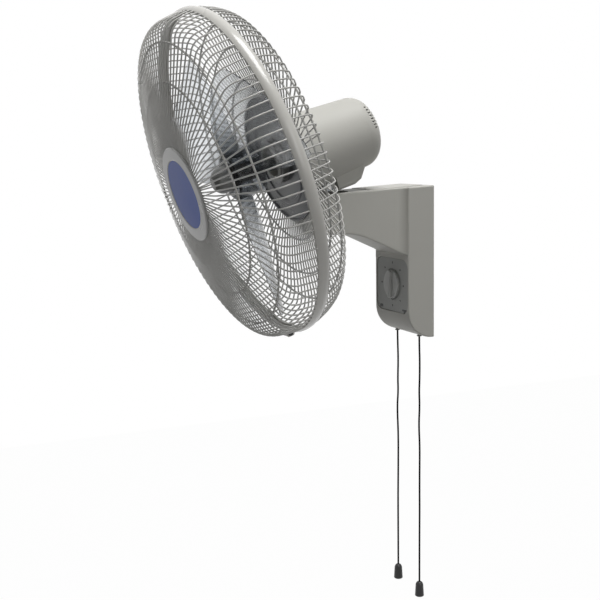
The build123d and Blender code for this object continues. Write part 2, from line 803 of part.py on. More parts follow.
panel_front = front.offset(body_depth - panel_sink)
panel_back = front.offset(panel_back_d)
backing_t = 1.5
timer_front_d = panel_back_d - backing_t
timer_ear_x = 23.0
timer_post_h = 4.0
clip_w = 14.0
with BuildPart() as control_panel:
    with BuildSketch(panel_back):
        with Locations((0, panel_mid_z)):
            RectangleRounded(panel_w - 2 * seat_gap, panel_h - 2 * seat_gap, panel_corner)
    extrude(amount=panel_t)
    fillet(control_panel.faces().sort_by(Axis.Y)[0].outer_wire().edges(), 0.8)
    with BuildSketch(front.offset(timer_front_d)):
        with Locations((0, dial_z)):
            Circle(dial_well_r + 2)
    extrude(amount=backing_t)
    with BuildSketch(panel_front.offset(-dial_well)):
        with Locations((0, dial_z)):
            Circle(dial_well_r)
    extrude(amount=dial_well + 2, mode=Mode.SUBTRACT)
    with BuildSketch(front.offset(timer_front_d - 2)):
        with Locations((0, dial_z)):
            Circle(dial_shaft_r + moving_gap)
    extrude(amount=20, mode=Mode.SUBTRACT)
    # posts for the timer's two screws
    with BuildSketch(front.offset(panel_back_d - timer_post_h)):
        with Locations((-timer_ear_x, dial_z), (timer_ear_x, dial_z)):
            Circle(3.5)
            Circle(1.2, mode=Mode.SUBTRACT)
    extrude(amount=timer_post_h)
    # two clips that catch behind the rim in the shell
    for z, way in ((panel_top_z - panel_ledge, 1), (panel_bottom_z + panel_ledge, -1)):
        with BuildSketch(front.offset(panel_back_d - panel_rim - 2)):
            with Locations((0, z - way * 0.85)):
                Rectangle(clip_w, 1.5)
        extrude(amount=panel_rim + 2)
        with BuildSketch(front.offset(panel_back_d - panel_rim - 2)):
            with Locations((0, z + way * 0.4)):
                Rectangle(clip_w, 2)
        extrude(amount=1.9)
save(control_panel, "control_panel")

timer_ear_d = panel_back_d - timer_post_h
timer_ear_t = 1.4
with BuildPart() as timer_case:
    with BuildSketch(front.offset(timer_front_d - timer_t)):
        with Locations((0, dial_z)):
            RectangleRounded(timer_w, timer_w, 3)
    extrude(amount=timer_t)
    with BuildSketch(front.offset(timer_ear_d - timer_ear_t)):
        with Locations((0, dial_z)):
            Rectangle(2 * timer_ear_x + 8, 9)
        with Locations((-timer_ear_x, dial_z), (timer_ear_x, dial_z)):
            Circle(1.4, mode=Mode.SUBTRACT)
    extrude(amount=timer_ear_t)
    for z in (-10, 0, 10):
        with BuildSketch(front.offset(timer_front_d - timer_t - 5)):
            with Locations((12, dial_z + z)):
                Rectangle(0.8, 5)
        extrude(amount=5)
    with BuildSketch(front.offset(timer_front_d - timer_t + 2)):
        with Locations((0, dial_z)):
            Circle(dial_shaft_r + running_gap)
    extrude(amount=timer_t, mode=Mode.SUBTRACT)
save(timer_case, "timer_case")

dial_back_d = body_depth - panel_sink - dial_well + moving_gap
dial_front_d = dial_back_d + dial_disc_t
pointer_w = 1.6
with BuildPart() as timer_dial:
    with BuildSketch(front.offset(dial_back_d)):
        with Locations((0, dial_z)):
            Circle(dial_r)
    extrude(amount=dial_disc_t)
    fillet(timer_dial.faces().sort_by(Axis.Y)[0].edges(), 0.8)
    with BuildSketch(front.offset(dial_front_d)):
        with Locations((0, dial_z)):
            RectangleRounded(dial_grip_w, 2 * dial_r - 2, 2.9)
    extrude(amount=dial_grip_h)
    fillet(timer_dial.faces().sort_by(Axis.Y)[0].edges(), 0.9)
    # groove of the pointer on the end of the grip that faces zero
    with BuildSketch(front.offset(dial_front_d + dial_grip_h - 0.5)):
        with Locations((0, dial_z - dial_r / 2 + 1)):
            Rectangle(pointer_w, dial_r - 6)
    extrude(amount=2, mode=Mode.SUBTRACT)
    with BuildSketch(front.offset(dial_back_d - 1)):
        with Locations((0, dial_z)):
            Circle(dial_shaft_r)
    extrude(amount=1 + 7, mode=Mode.SUBTRACT)
save(timer_dial, "timer_dial")

with BuildPart() as dial_shaft:
    with BuildSketch(front.offset(timer_front_d - timer_t + 2 + moving_gap)):
        with Locations((0, dial_z)):
            Circle(dial_shaft_r)
    extrude(amount=dial_back_d + 7 - timer_front_d + timer_t - 2 - moving_gap)
save(dial_shaft, "dial_shaft")

# ---------------------------------------------------------------- pull switches and their cords

switch_top_z = switch_bottom_z + switch_h
slider_top_z = switch_bottom_z + 22
slider_bottom_z = switch_bottom_z - 4
slider_head_r = 5.0
slider_head_h = 3.0
slider_rest_z = slider_top_z - slider_head_h
well_floor_z = slider_rest_z - pull_travel - moving_gap


def switch_case(x):
    """A switch with a stepped bore in which its slider's head can drop by the pull's travel."""
    with BuildPart(mode=Mode.PRIVATE) as case:
        with BuildSketch(Plane.XY.offset(switch_bottom_z)):
            with Locations((x, cord_y)):
                RectangleRounded(switch_w, switch_d, 1.5)
        extrude(amount=switch_h)
        with BuildSketch(Plane.XY.offset(switch_top_z)):
            with Locations((x - 4, cord_y), (x, cord_y), (x + 4, cord_y)):
                Rectangle(3, 0.8)
        extrude(amount=7)
        with BuildSketch(Plane.XY.offset(switch_bottom_z - 1)):
            with Locations((x, cord_y)):
                Circle(slider_r + running_gap)
        extrude(amount=10, mode=Mode.SUBTRACT)
        with BuildSketch(Plane.XY.offset(well_floor_z)):
            with Locations((x, cord_y)):
                Circle(slider_head_r + moving_gap)
        extrude(amount=slider_top_z + moving_gap - well_floor_z, mode=Mode.SUBTRACT)
    return case.part


def switch_slider(x):
    """The sliding pin of a switch, with a blind bore for the cord's end."""
    with BuildPart(mode=Mode.PRIVATE) as pin:
        with BuildSketch(Plane.XY.offset(slider_bottom_z)):
            with Locations((x, cord_y)):
                Circle(slider_r)
        extrude(amount=slider_rest_z - slider_bottom_z)
        with BuildSketch(Plane.XY.offset(slider_rest_z)):
            with Locations((x, cord_y)):
                Circle(slider_head_r)
        extrude(amount=slider_head_h)
        with BuildSketch(Plane.XY.offset(slider_bottom_z - 1)):
            with Locations((x, cord_y)):
                Circle(cord_r)
        extrude(amount=1 + cord_grip, mode=Mode.SUBTRACT)
    return pin.part


cord_grip = 6.0
cord_start_z = slider_bottom_z + cord_grip
speed_pull_top = -463.0
swing_pull_top = -468.0
pull_grip = 8.0
# the cords are limp: their runs follow the small waves that they show in the photo
speed_route = [
    (-cord_x, cord_y, cord_start_z),
    (-cord_x, cord_y, -118),
    (-cord_x, cord_y + 1.1, -150),
    (-cord_x - 0.2, cord_y + 0.3, -180),
    (-cord_x + 0.1, cord_y + 0.8, -198),
    (-cord_x - 0.1, cord_y - 0.9, -222),
    (-cord_x - 0.2, cord_y + 0.9, -263),
    (-cord_x, cord_y + 0.5, -310),
    (-cord_x + 0.2, cord_y - 0.2, -360),
    (-cord_x, cord_y, -412),
    (-cord_x, cord_y, speed_pull_top - pull_grip),
]
swing_route = [
    (cord_x, cord_y, cord_start_z),
    (cord_x, cord_y, -120),
    (cord_x + 0.1, cord_y + 0.8, -142),
    (cord_x - 0.1, cord_y + 0.6, -170),
    (cord_x + 0.1, cord_y - 0.3, -187),
    (cord_x, cord_y + 0.6, -208),
    (cord_x + 0.1, cord_y - 0.9, -236),
    (cord_x - 0.2, cord_y + 0.9, -266),
    (cord_x + 0.1, cord_y + 0.2, -315),
    (cord_x - 0.1, cord_y + 0.5, -365),
    (cord_x, cord_y, -417),
    (cord_x, cord_y, swing_pull_top - pull_grip),
]


def cord_line(route):
    """Straight runs joined by arcs that are tangent to both, with the arcs' radii printed."""
    points = [Vector(*p) for p in route]
    pieces = []
    start = points[0]
    for before, corner, after in zip(points, points[1:], points[2:]):
        into = (corner - before).normalized()
        out = (after - corner).normalized()
        reach = 0.45 * min((corner - before).length, (after - corner).length)
        first = corner - into * reach
        last = corner + out * reach
        pieces.append(Edge.make_line(start, first))
        pieces.append(Edge.make_tangent_arc(first, into, last))
        start = last
    pieces.append(Edge.make_line(start, points[-1]))
    return Wire(pieces)


def cord_solid(route):
    path = cord_line(route)
    with BuildPart(mode=Mode.PRIVATE) as cord:
        with BuildSketch(Plane(origin=path @ 0, z_dir=path % 0)):
            Circle(cord_r)
        sweep(path=path)
    print("cord", round(path.length, 1), round(cord.part.volume / (pi * cord_r**2 * path.length), 5))
    return cord.part


def pull_knob(x, top):
    """A bullet shaped pull with a blind bore for the cord."""
    place = Plane(origin=(x, cord_y, top), x_dir=(1, 0, 0), z_dir=(0, -1, 0))
    crown_r = cord_r + 0.8
    with BuildPart(mode=Mode.PRIVATE) as knob:
        with BuildSketch(place):
            with BuildLine():
                Line((cord_r, -pull_grip), (cord_r, 0))
                Line((cord_r, 0), (crown_r, 0))
                Spline(
                    (crown_r, 0),
                    (pull_shoulder_r - 1.1, -2),
                    (pull_shoulder_r, -pull_shoulder),
                    tangents=[(1, -0.35), (0.06, -1)],
                )
                Line((pull_shoulder_r, -pull_shoulder), (pull_r, -pull_h + pull_rim))
                Line((pull_r, -pull_h + pull_rim), (pull_r - pull_rim, -pull_h))
                Line((pull_r - pull_rim, -pull_h), (0, -pull_h))
                Line((0, -pull_h), (0, -pull_grip))
                Line((0, -pull_grip), (cord_r, -pull_grip))
            make_face()
        revolve(axis=Axis((x, cord_y, 0), (0, 0, 1)))
    return knob.part


with BuildPart() as speed_switch_case:
    add(switch_case(-cord_x))
save(speed_switch_case, "speed_switch_case")

with BuildPart() as swing_switch_case:
    add(switch_case(cord_x))
save(swing_switch_case, "swing_switch_case")

with BuildPart() as speed_slider:
    add(switch_slider(-cord_x))
save(speed_slider, "speed_slider")

with BuildPart() as swing_slider:
    add(switch_slider(cord_x))
save(swing_slider, "swing_slider")

with BuildPart() as speed_cord:
    add(cord_solid(speed_route))
save(speed_cord, "speed_cord")

with BuildPart() as swing_cord:
    add(cord_solid(swing_route))
save(swing_cord, "swing_cord")

with BuildPart() as speed_pull:
    add(pull_knob(-cord_x, speed_pull_top))
save(speed_pull, "speed_pull")

with BuildPart() as swing_pull:
    add(pull_knob(cord_x, swing_pull_top))
save(swing_pull, "swing_pull")

eyelet_top_z = -101.0
eyelet_flange_z = -106.4
with BuildPart() as cord_eyelets:
    with BuildSketch(Plane.XY.offset(eyelet_flange_z - eyelet_flange)):
        with Locations(*cord_places):
            Circle(eyelet_r)
    extrude(amount=eyelet_flange)
    fillet(cord_eyelets.edges().group_by(Axis.Z)[0], 0.6)
    with BuildSketch(Plane.XY.offset(eyelet_flange_z)):
        with Locations(*cord_places):
            Circle(eyelet_hole_r - seat_gap)
    extrude(amount=eyelet_top_z - eyelet_flange_z)
    with BuildSketch(Plane.XY.offset(eyelet_flange_z - eyelet_flange - 1)):
        with Locations(*cord_places):
            Circle(eyelet_bore)
    extrude(amount=20, mode=Mode.SUBTRACT)
save(cord_eyelets, "cord_eyelets")

# ---------------------------------------------------------------- electrical pieces in the body

grommet_bore = 3.2
with BuildPart() as supply_grommet:
    with BuildSketch(Plane.YZ.offset(-body_w / 2 - 2)):
        with Locations((grommet_y, grommet_z)):
            Circle(grommet_r + 2.4)
    extrude(amount=2)
    fillet(supply_grommet.edges().group_by(Axis.X)[0], 0.8)
    with BuildSketch(Plane.YZ.offset(-body_w / 2)):
        with Locations((grommet_y, grommet_z)):
            Circle(grommet_r - seat_gap)
    extrude(amount=6)
    with BuildSketch(Plane.YZ.offset(-body_w / 2 - 3)):
        with Locations((grommet_y, grommet_z)):
            Circle(grommet_bore)
    extrude(amount=12, mode=Mode.SUBTRACT)
save(supply_grommet, "supply_grommet")

capacitor_z = 35.0
with BuildPart() as capacitor:
    with BuildSketch(front.offset(-chassis_face)):
        with Locations((-20, capacitor_z)):
            RectangleRounded(30, 26, 2)
    extrude(amount=15)
    fillet(capacitor.faces().sort_by(Axis.Y)[0].edges(), 1.5)
    with BuildSketch(Plane.XY.offset(capacitor_z + 13)):
        with Locations((-25, chassis_face - 7), (-15, chassis_face - 7)):
            Rectangle(4, 0.8)
    extrude(amount=6)
save(capacitor, "capacitor")

terminal_w = 38.0
with BuildPart() as terminal_block:
    with BuildSketch(front.offset(-chassis_face)):
        with Locations((18, capacitor_z)):
            Rectangle(16, terminal_w)
    extrude(amount=8)
    with BuildSketch(front.offset(-chassis_face + 8)):
        with Locations((18, capacitor_z)):
            with GridLocations(16, terminal_w / 4, 1, 4):
                Rectangle(10, terminal_w / 4 - 2)
    extrude(amount=5)
    with BuildSketch(front.offset(-chassis_face + 8)):
        with Locations((18, capacitor_z)):
            with GridLocations(5, terminal_w / 4, 2, 4):
                Circle(1.5)
    extrude(amount=6, mode=Mode.SUBTRACT)
save(terminal_block, "terminal_block")

# ---------------------------------------------------------------- tilt joint

ear_x = lug_w / 2 + tilt_washer_h + seat_gap
slot_x = 18.0
slot_back_s = -128.0
slot_front_s = -104.0
bracket_top = -43.8
bracket_t = 3.0
bracket_x = 17.0


def on_tilt(x):
    """A plane across the tilt axis: its X runs up from the fan axis and its Y along the axis."""
    return Plane(origin=fan_centre + Vector(x, 0, 0), x_dir=fan_up, z_dir=(1, 0, 0))


with BuildPart() as tilt_bracket:
    with BuildSketch(on_tilt(-bracket_x)):
        with Locations((bracket_top - bracket_t / 2, (slot_back_s + slot_front_s) / 2)):
            Rectangle(bracket_t, slot_front_s - slot_back_s - 2)
    extrude(amount=2 * bracket_x)
    for x in (ear_x, -ear_x - ear_t):
        with BuildSketch(on_tilt(x)):
            with Locations(((bracket_top + tilt_up) / 2, tilt_s)):
                Rectangle(bracket_top - tilt_up, 2 * lug_r)
            with Locations((tilt_up, tilt_s)):
                Circle(lug_r)
                Circle(tilt_bolt_r + seat_gap, mode=Mode.SUBTRACT)
        extrude(amount=ear_t)
save(tilt_bracket, "tilt_bracket")

bolt_end_x = 17.0
bolt_head_r = 5.0
bolt_head_h = 3.0
ear_out_x = ear_x + ear_t
with BuildPart() as tilt_bolt:
    with BuildSketch(on_tilt(-bolt_end_x)):
        with Locations((tilt_up, tilt_s)):
            Circle(tilt_bolt_r)
    extrude(amount=bolt_end_x + ear_out_x)
    with BuildSketch(on_tilt(ear_out_x)):
        with Locations((tilt_up, tilt_s)):
            RegularPolygon(bolt_head_r, 6)
    extrude(amount=bolt_head_h)
save(tilt_bolt, "tilt_bolt")

with BuildPart() as tilt_nut:
    with BuildSketch(on_tilt(-ear_out_x - 3.5)):
        with Locations((tilt_up, tilt_s)):
            RegularPolygon(5.5, 6)
            Circle(tilt_bolt_r, mode=Mode.SUBTRACT)
    extrude(amount=3.5)
save(tilt_nut, "tilt_nut")

# ---------------------------------------------------------------- motor housing


def housing_body(inset, front_s):
    """The round part of the housing, smaller by inset on its side and rear."""
    corner = housing_corner - inset
    end = housing_end_s + inset
    back_s = housing_end_s + housing_corner
    flat = housing_back_r - housing_corner
    bend = radians(45)
    with BuildPart(mode=Mode.PRIVATE) as body:
        with BuildSketch(along) as profile:
            with BuildLine():
                Line((0, front_s), (housing_front_r - inset, front_s))
                Line((housing_front_r - inset, front_s), (housing_back_r - inset, back_s))
                ThreePointArc(
                    (housing_back_r - inset, back_s),
                    (flat + corner * cos(bend), back_s - corner * sin(bend)),
                    (flat, end),
                )
                Line((flat, end), (0, end))
                Line((0, end), (0, front_s))
            make_face()
        revolve(axis=fan_axis)
    return body.part.moved(Location(fan_up * -housing_drop))


def housing_block(inset):
    """The box under the housing, smaller by inset all round."""
    low = -block_bottom + inset
    back = block_back_s + inset
    with BuildPart(mode=Mode.PRIVATE) as body:
        with BuildSketch(on_tilt(-block_w / 2 + inset)):
            with BuildLine():
                Polyline(
                    (-30, block_front_s - inset),
                    (low, block_front_s - inset),
                    (low, back + 22),
                    (low + 4, back + 11),
                    (low + 18, back),
                    (-30, back - 2),
                    (-30, block_front_s - inset),
                )
            make_face()
        extrude(amount=block_w - 2 * inset)
        corners = body.edges().filter_by(lambda e: e.center().X != 0 and abs(e.center().X) > 1)
        keep = [e for e in corners if head_place(e.center().Y, e.center().Z)[0] < -31]
        fillet([e for e in keep if head_place(e.center().Y, e.center().Z)[1] < block_front_s - 3], 5 - inset)
    return body.part


vent_pitch = 4.1
vent_h = 1.9
vent_first = 29.5
vent_count = 8
vent_reach = 15.0  # the vents reach this far round the rear edge
rear_screw_x = 30.0
rear_screw_up = -housing_drop
post_r = 4.0
rear_shield_s = -178.0
shield_t = 3.0
rear_places = [(-rear_screw_x, rear_screw_up), (rear_screw_x, rear_screw_up)]
with BuildPart() as motor_housing:
    add(housing_body(0, housing_seam_s))
    add(housing_block(0))
    add(housing_block(housing_wall), mode=Mode.SUBTRACT)
    add(housing_body(housing_wall, housing_seam_s + 1), mode=Mode.SUBTRACT)
    # the slot that the neck and the bracket's ears pass
    with BuildSketch(across.offset(slot_back_s)):
        with Locations((0, -block_bottom)):
            Rectangle(2 * slot_x, 2 * (block_bottom - 40))
    extrude(amount=slot_front_s - slot_back_s, mode=Mode.SUBTRACT)
    # vents across the rear
    with BuildSketch(across.offset(housing_end_s - 5)):
        for k in range(vent_count):
            with Locations((0, vent_first - k * vent_pitch)):
                Rectangle(92, vent_h)
    extrude(amount=5 + vent_reach, mode=Mode.SUBTRACT)
    # posts for the two rear screws
    with BuildSketch(across.offset(rear_shield_s - shield_t)):
        with Locations(*rear_places):
            Circle(post_r)
    extrude(amount=housing_end_s + housing_wall / 2 - rear_shield_s + shield_t)
    with BuildSketch(across.offset(housing_end_s + 4)):
        with Locations(*rear_places):
            Circle(3.4)
    extrude(amount=-20, mode=Mode.SUBTRACT)
    with BuildSketch(across.offset(housing_end_s)):
        with Locations(*rear_places):
            Circle(small_screw_r + 0.2)
    extrude(amount=60, mode=Mode.SUBTRACT)
save(motor_housing, "motor_housing")

nose_r = 23.8
nose_bore = 20.0
nose_end_s = -50.0
cover_screw_r = 34.0
cover_places = [
    (cover_screw_r * cos(radians(a)), cover_screw_r * sin(radians(a))) for a in (90, 210, 330)
]
front_shield_s = -97.0


def cover_body(inset):
    """The flared front cover, smaller by inset, on the housing's own axis."""
    back_s = housing_seam_s - (1 if inset else 0)
    with BuildPart(mode=Mode.PRIVATE) as body:
        with BuildSketch(along):
            with BuildLine():
                Polyline(
                    (0, back_s),
                    (housing_front_r - inset, back_s),
                    (housing_front_r - inset + 0.8, housing_seam_s + 10),
                    (cover_r - inset, cover_s - 3 - inset / 2),
                    (cover_r - 2 - inset, cover_s - inset),
                    (0, cover_s - inset),
                    (0, back_s),
                )
            make_face()
        revolve(axis=fan_axis)
    return body.part.moved(Location(fan_up * -housing_drop))


with BuildPart() as motor_front_cover:
    add(cover_body(0))
    add(cover_body(housing_wall), mode=Mode.SUBTRACT)
    # the nose that carries the rear guard and its nut
    with BuildSketch(across.offset(cover_s - housing_wall)):
        Circle(nose_r)
    extrude(amount=nose_end_s - cover_s + housing_wall)
    with BuildSketch(across.offset(front_shield_s)):
        with Locations(*cover_places):
            Circle(post_r)
    extrude(amount=cover_s - front_shield_s)
    with BuildSketch(across.offset(cover_s - 10)):
        Circle(nose_bore)
    extrude(amount=40, mode=Mode.SUBTRACT)
    with BuildSketch(across.offset(cover_s - 2.4)):
        with Locations(*cover_places):
            Circle(3.4)
    extrude(amount=5, mode=Mode.SUBTRACT)
    with BuildSketch(across.offset(front_shield_s - 1)):
        with Locations(*cover_places):
            Circle(small_screw_r + 0.2)
    extrude(amount=40, mode=Mode.SUBTRACT)
save(motor_front_cover, "motor_front_cover")


def ring_profile(outline):
    """A solid of revolution about the fan axis from (radius, s) points."""
    with BuildPart(mode=Mode.PRIVATE) as body:
        with BuildSketch(along):
            with BuildLine():
                Polyline(*outline, outline[0])
            make_face()
        revolve(axis=fan_axis)
    return body.part


# ---------------------------------------------------------------- motor

shield_r = stator_r + 3
shield_grip = 6.0
bearing_gap = 0.02
bearing_lip = 3.0  # each bearing rests against a lip this high
seat_tube_r = bearing_r + bearing_lip
with BuildPart() as stator_core:
    add(
        ring_profile(
            [
                (stator_bore, stator_back_s),
                (stator_r, stator_back_s),
                (stator_r, stator_front_s),
                (stator_bore, stator_front_s),
            ]
        )
    )
save(stator_core, "stator_core")

with BuildPart() as stator_windings:
    for start, way in ((stator_back_s, -1), (stator_front_s, 1)):
        add(
            ring_profile(
                [
                    (25, start),
                    (24, start + way * 4),
                    (27, start + way * winding_t),
                    (34, start + way * winding_t),
                    (37.5, start + way * 5),
                    (37.5, start),
                ]
            )
        )
save(stator_windings, "stator_windings")

with BuildPart() as front_shield:
    add(
        ring_profile(
            [
                (bearing_r + bearing_gap, front_bearing_s + bearing_l / 2),
                (bearing_r + bearing_gap, front_bearing_s - bearing_l / 2),
                (bearing_r - bearing_lip, front_bearing_s - bearing_l / 2),
                (bearing_r - bearing_lip, front_shield_s - shield_t),
                (stator_r, front_shield_s - shield_t),
                (stator_r, stator_front_s - shield_grip),
                (shield_r, stator_front_s - shield_grip),
                (shield_r, front_shield_s),
                (seat_tube_r, front_shield_s),
                (seat_tube_r, front_bearing_s + bearing_l / 2),
            ]
        )
    )
    with BuildSketch(across.offset(slot_back_s + 4)):
        with Locations((0, (bracket_top - shield_r + 5) / 2)):
            Rectangle(28, -bracket_top - shield_r + 5)
    extrude(amount=slot_front_s - slot_back_s - 4)
    with BuildSketch(across.offset(slot_back_s)):
        Circle(stator_r)
    extrude(amount=front_shield_s - shield_t - slot_back_s, mode=Mode.SUBTRACT)
    with BuildSketch(across.offset(front_shield_s - 10)):
        with Locations(*cover_places):
            Circle(small_screw_r)
    extrude(amount=20, mode=Mode.SUBTRACT)
save(front_shield, "front_shield")

with BuildPart() as rear_shield:
    add(
        ring_profile(
            [
                (bearing_r + bearing_gap, rear_bearing_s - bearing_l / 2),
                (bearing_r + bearing_gap, rear_bearing_s + bearing_l / 2),
                (bearing_r - bearing_lip, rear_bearing_s + bearing_l / 2),
                (bearing_r - bearing_lip, rear_shield_s),
                (stator_r, rear_shield_s),
                (stator_r, stator_back_s + shield_grip),
                (shield_r, stator_back_s + shield_grip),
                (shield_r, rear_shield_s - shield_t),
                (seat_tube_r, rear_shield_s - shield_t),
                (seat_tube_r, rear_bearing_s - bearing_l / 2),
            ]
        )
    )
    with BuildSketch(across.offset(rear_shield_s - 8)):
        with Locations(*rear_places):
            Circle(small_screw_r)
    extrude(amount=20, mode=Mode.SUBTRACT)
save(rear_shield, "rear_shield")

with BuildPart() as motor_bearings:
    for middle in (front_bearing_s, rear_bearing_s):
        add(
            ring_profile(
                [
                    (shaft_r + running_gap, middle - bearing_l / 2),
                    (bearing_r, middle - bearing_l / 2),
                    (bearing_r, middle + bearing_l / 2),
                    (shaft_r + running_gap, middle + bearing_l / 2),
                ]
            )
        )
save(motor_bearings, "motor_bearings")

with BuildPart() as housing_screws:
    add(screw(across.offset(cover_s - 2.4), cover_places, 3.0, 1.8, small_screw_r, 34))
    rear_seat = Plane(
        origin=fan_centre + fan_dir * (housing_end_s + 4), x_dir=(1, 0, 0), z_dir=fan_dir * -1
    )
    mirrored = [(x, -up) for x, up in rear_places]
    add(screw(rear_seat, mirrored, 3.0, 1.8, small_screw_r, rear_shield_s + 1 - housing_end_s - 4))
save(housing_screws, "housing_screws")

with BuildPart() as motor_shaft:
    with BuildSketch(across.offset(shaft_back_s)):
        Circle(shaft_r)
    extrude(amount=shaft_front_s - shaft_back_s)
    chamfer(motor_shaft.faces().sort_by(fan_axis)[-1].edges(), 0.6)
save(motor_shaft, "motor_shaft")

with BuildPart() as rotor_core:
    add(
        ring_profile(
            [
                (shaft_r, stator_back_s),
                (10, stator_back_s),
                (10, stator_back_s - 4),
                (20, stator_back_s - 4),
                (20, stator_back_s),
                (rotor_r, stator_back_s),
                (rotor_r, stator_front_s),
                (20, stator_front_s),
                (20, stator_front_s + 4),
                (10, stator_front_s + 4),
                (10, stator_front_s),
                (shaft_r, stator_front_s),
            ]
        )
    )
save(rotor_core, "rotor_core")

# ---------------------------------------------------------------- hub, blades and spinner

blade_stations = (
    # radius, chord, pitch in degrees, camber, shift towards the leading edge
    (22.0, 46.0, 44.0, 3.0, 0.0),
    (75.0, 104.0, 31.0, 8.0, 3.0),
    (125.0, 138.0, 24.0, 9.0, 9.0),
    (168.0, 150.0, 20.0, 8.0, 17.0),
    (202.0, 138.0, 18.0, 6.0, 26.0),
)


def blade_section(radius, chord, pitch, camber, shift):
    """A thin cambered section across a blade that stands straight up from the fan axis."""
    p = radians(pitch)
    ahead = Vector(cos(p), sin(p))
    back = Vector(-sin(p), cos(p))
    middle = Vector(shift, 0)
    lead = middle + ahead * (chord / 2)
    trail = middle - ahead * (chord / 2)
    thick = back * (blade_t / 2)
    thin = back * (blade_t / 4)
    bulge = middle + back * camber
    place = Plane(origin=fan_centre + fan_up * radius, x_dir=(1, 0, 0), z_dir=fan_up)
    with BuildSketch(place, mode=Mode.PRIVATE) as section:
        with BuildLine():
            ThreePointArc(trail + thin, bulge + thick, lead + thin)
            Line(lead + thin, lead - thin)
            ThreePointArc(lead - thin, bulge - thick, trail - thin)
            Line(trail - thin, trail + thin)
        make_face()
    return section.sketch


with BuildPart() as one_blade:
    for station in blade_stations:
        add(blade_section(*station))
    loft()
    # the tip is an arc about the fan axis, and the root starts inside the hub's wall
    with BuildSketch(across.offset(-60)):
        Circle(blade_tip_r)
    extrude(amount=120, mode=Mode.INTERSECT)
    with BuildSketch(across.offset(-60)):
        Circle(hub_r - 1)
    extrude(amount=120, mode=Mode.SUBTRACT)

hub_insert_r = 9.0
hub_boss_r = 13.0
with BuildPart() as fan_blades:
    with BuildSketch(across.offset(hub_back_s)):
        Circle(hub_r)
    extrude(amount=hub_front_s - hub_back_s)
    fillet(fan_blades.faces().sort_by(fan_axis)[-1].edges(), 4)
    with BuildSketch(across.offset(hub_back_s - 1)):
        Circle(hub_r - hub_wall)
        Circle(hub_boss_r, mode=Mode.SUBTRACT)
    extrude(amount=hub_front_s - hub_back_s - hub_wall + 1, mode=Mode.SUBTRACT)
    for turn in range(blade_count):
        add(one_blade.part.rotate(fan_axis, turn * 360 / blade_count - blade_turn))
    with BuildSketch(across.offset(hub_back_s - 1)):
        Circle(hub_insert_r)
    extrude(amount=hub_front_s - hub_back_s + 2, mode=Mode.SUBTRACT)
    with BuildSketch(across.offset(hub_back_s - 10)):
        Circle(hub_boss_r + 1)
    extrude(amount=14, mode=Mode.SUBTRACT)
save(fan_blades, "fan_blades")

insert_back_s = hub_back_s + 4
with BuildPart() as hub_insert:
    add(
        ring_profile(
            [
                (shaft_r, insert_back_s),
                (hub_insert_r, insert_back_s),
                (hub_insert_r, hub_front_s),
                (shaft_r, hub_front_s),
            ]
        )
    )
save(hub_insert, "hub_insert")

with BuildPart() as spinner_nut:
    with BuildSketch(along):
        with BuildLine():
            Line((0, hub_front_s), (spinner_r, hub_front_s))
            Line((spinner_r, hub_front_s), (spinner_r - 0.6, hub_front_s + 12))
            ThreePointArc(
                (spinner_r - 0.6, hub_front_s + 12),
                (spinner_r - 3.6, spinner_tip_s - 5),
                (spinner_r - 10, spinner_tip_s),
            )
            Line((spinner_r - 10, spinner_tip_s), (0, spinner_tip_s))
            Line((0, spinner_tip_s), (0, hub_front_s))
        make_face()
    revolve(axis=fan_axis)
    with BuildSketch(across.offset(hub_front_s - 1)):
        Circle(shaft_r)
    extrude(amount=shaft_front_s - hub_front_s + 1.2, mode=Mode.SUBTRACT)
    with BuildSketch(across.offset(hub_front_s + 3)):
        with PolarLocations(spinner_r + 1.5, 8):
            Circle(2.4)
    extrude(amount=30, mode=Mode.SUBTRACT)
save(spinner_nut, "spinner_nut")

# ---------------------------------------------------------------- rear guard

with BuildPart() as rear_guard_plate:
    back_s = rear_plate_s - rear_plate_t
    add(
        ring_profile(
            [
                (rear_plate_bore, back_s),
                (rear_plate_r, back_s),
                (rear_plate_r, rear_plate_s + 2),
                (rear_plate_r - 2, rear_plate_s + 2),
                (rear_plate_r - 3, rear_plate_s),
                (64, rear_plate_s),
                (62, rear_plate_s + 1.5),
                (58, rear_plate_s + 1.5),
                (56, rear_plate_s),
                (rear_plate_bore, rear_plate_s),
            ]
        )
    )
save(rear_guard_plate, "rear_guard_plate")

with BuildPart() as guard_plate_nut:
    add(
        ring_profile(
            [
                (nose_r, rear_plate_s),
                (31, rear_plate_s),
                (31, rear_plate_s + 8),
                (29.5, rear_plate_s + 9),
                (nose_r, rear_plate_s + 9),
            ]
        )
    )
    with BuildSketch(across.offset(rear_plate_s + 2)):
        with PolarLocations(32.2, 24):
            Circle(2.2)
    extrude(amount=10, mode=Mode.SUBTRACT)
save(guard_plate_nut, "guard_plate_nut")


def wire_run(points, radius):
    """One length of guard wire through (radius from the axis, s) points, straight up."""
    with BuildPart(mode=Mode.PRIVATE) as run:
        with BuildLine(along) as path:
            if len(points) > 2:
                FilletPolyline(*points, radius=radius)
            else:
                Line(*points)
        with BuildSketch(Plane(origin=path.line @ 0, z_dir=path.line % 0)):
            Circle(wire_r)
        sweep(path=path.line)
    return run.part


def all_round(runs, count):
    return [
        run.rotate(fan_axis, k * 360 / count).solid() for k in range(count) for run in runs
    ]


def hoop(radius, s):
    """A wire hoop round the fan axis."""
    with BuildPart(mode=Mode.PRIVATE) as body:
        with BuildSketch(along):
            with Locations((radius, s)):
                Circle(hoop_r)
        revolve(axis=fan_axis)
    return body.part


hoop_stand = wire_r + hoop_r + seat_gap
rim_s = ring_w / 2


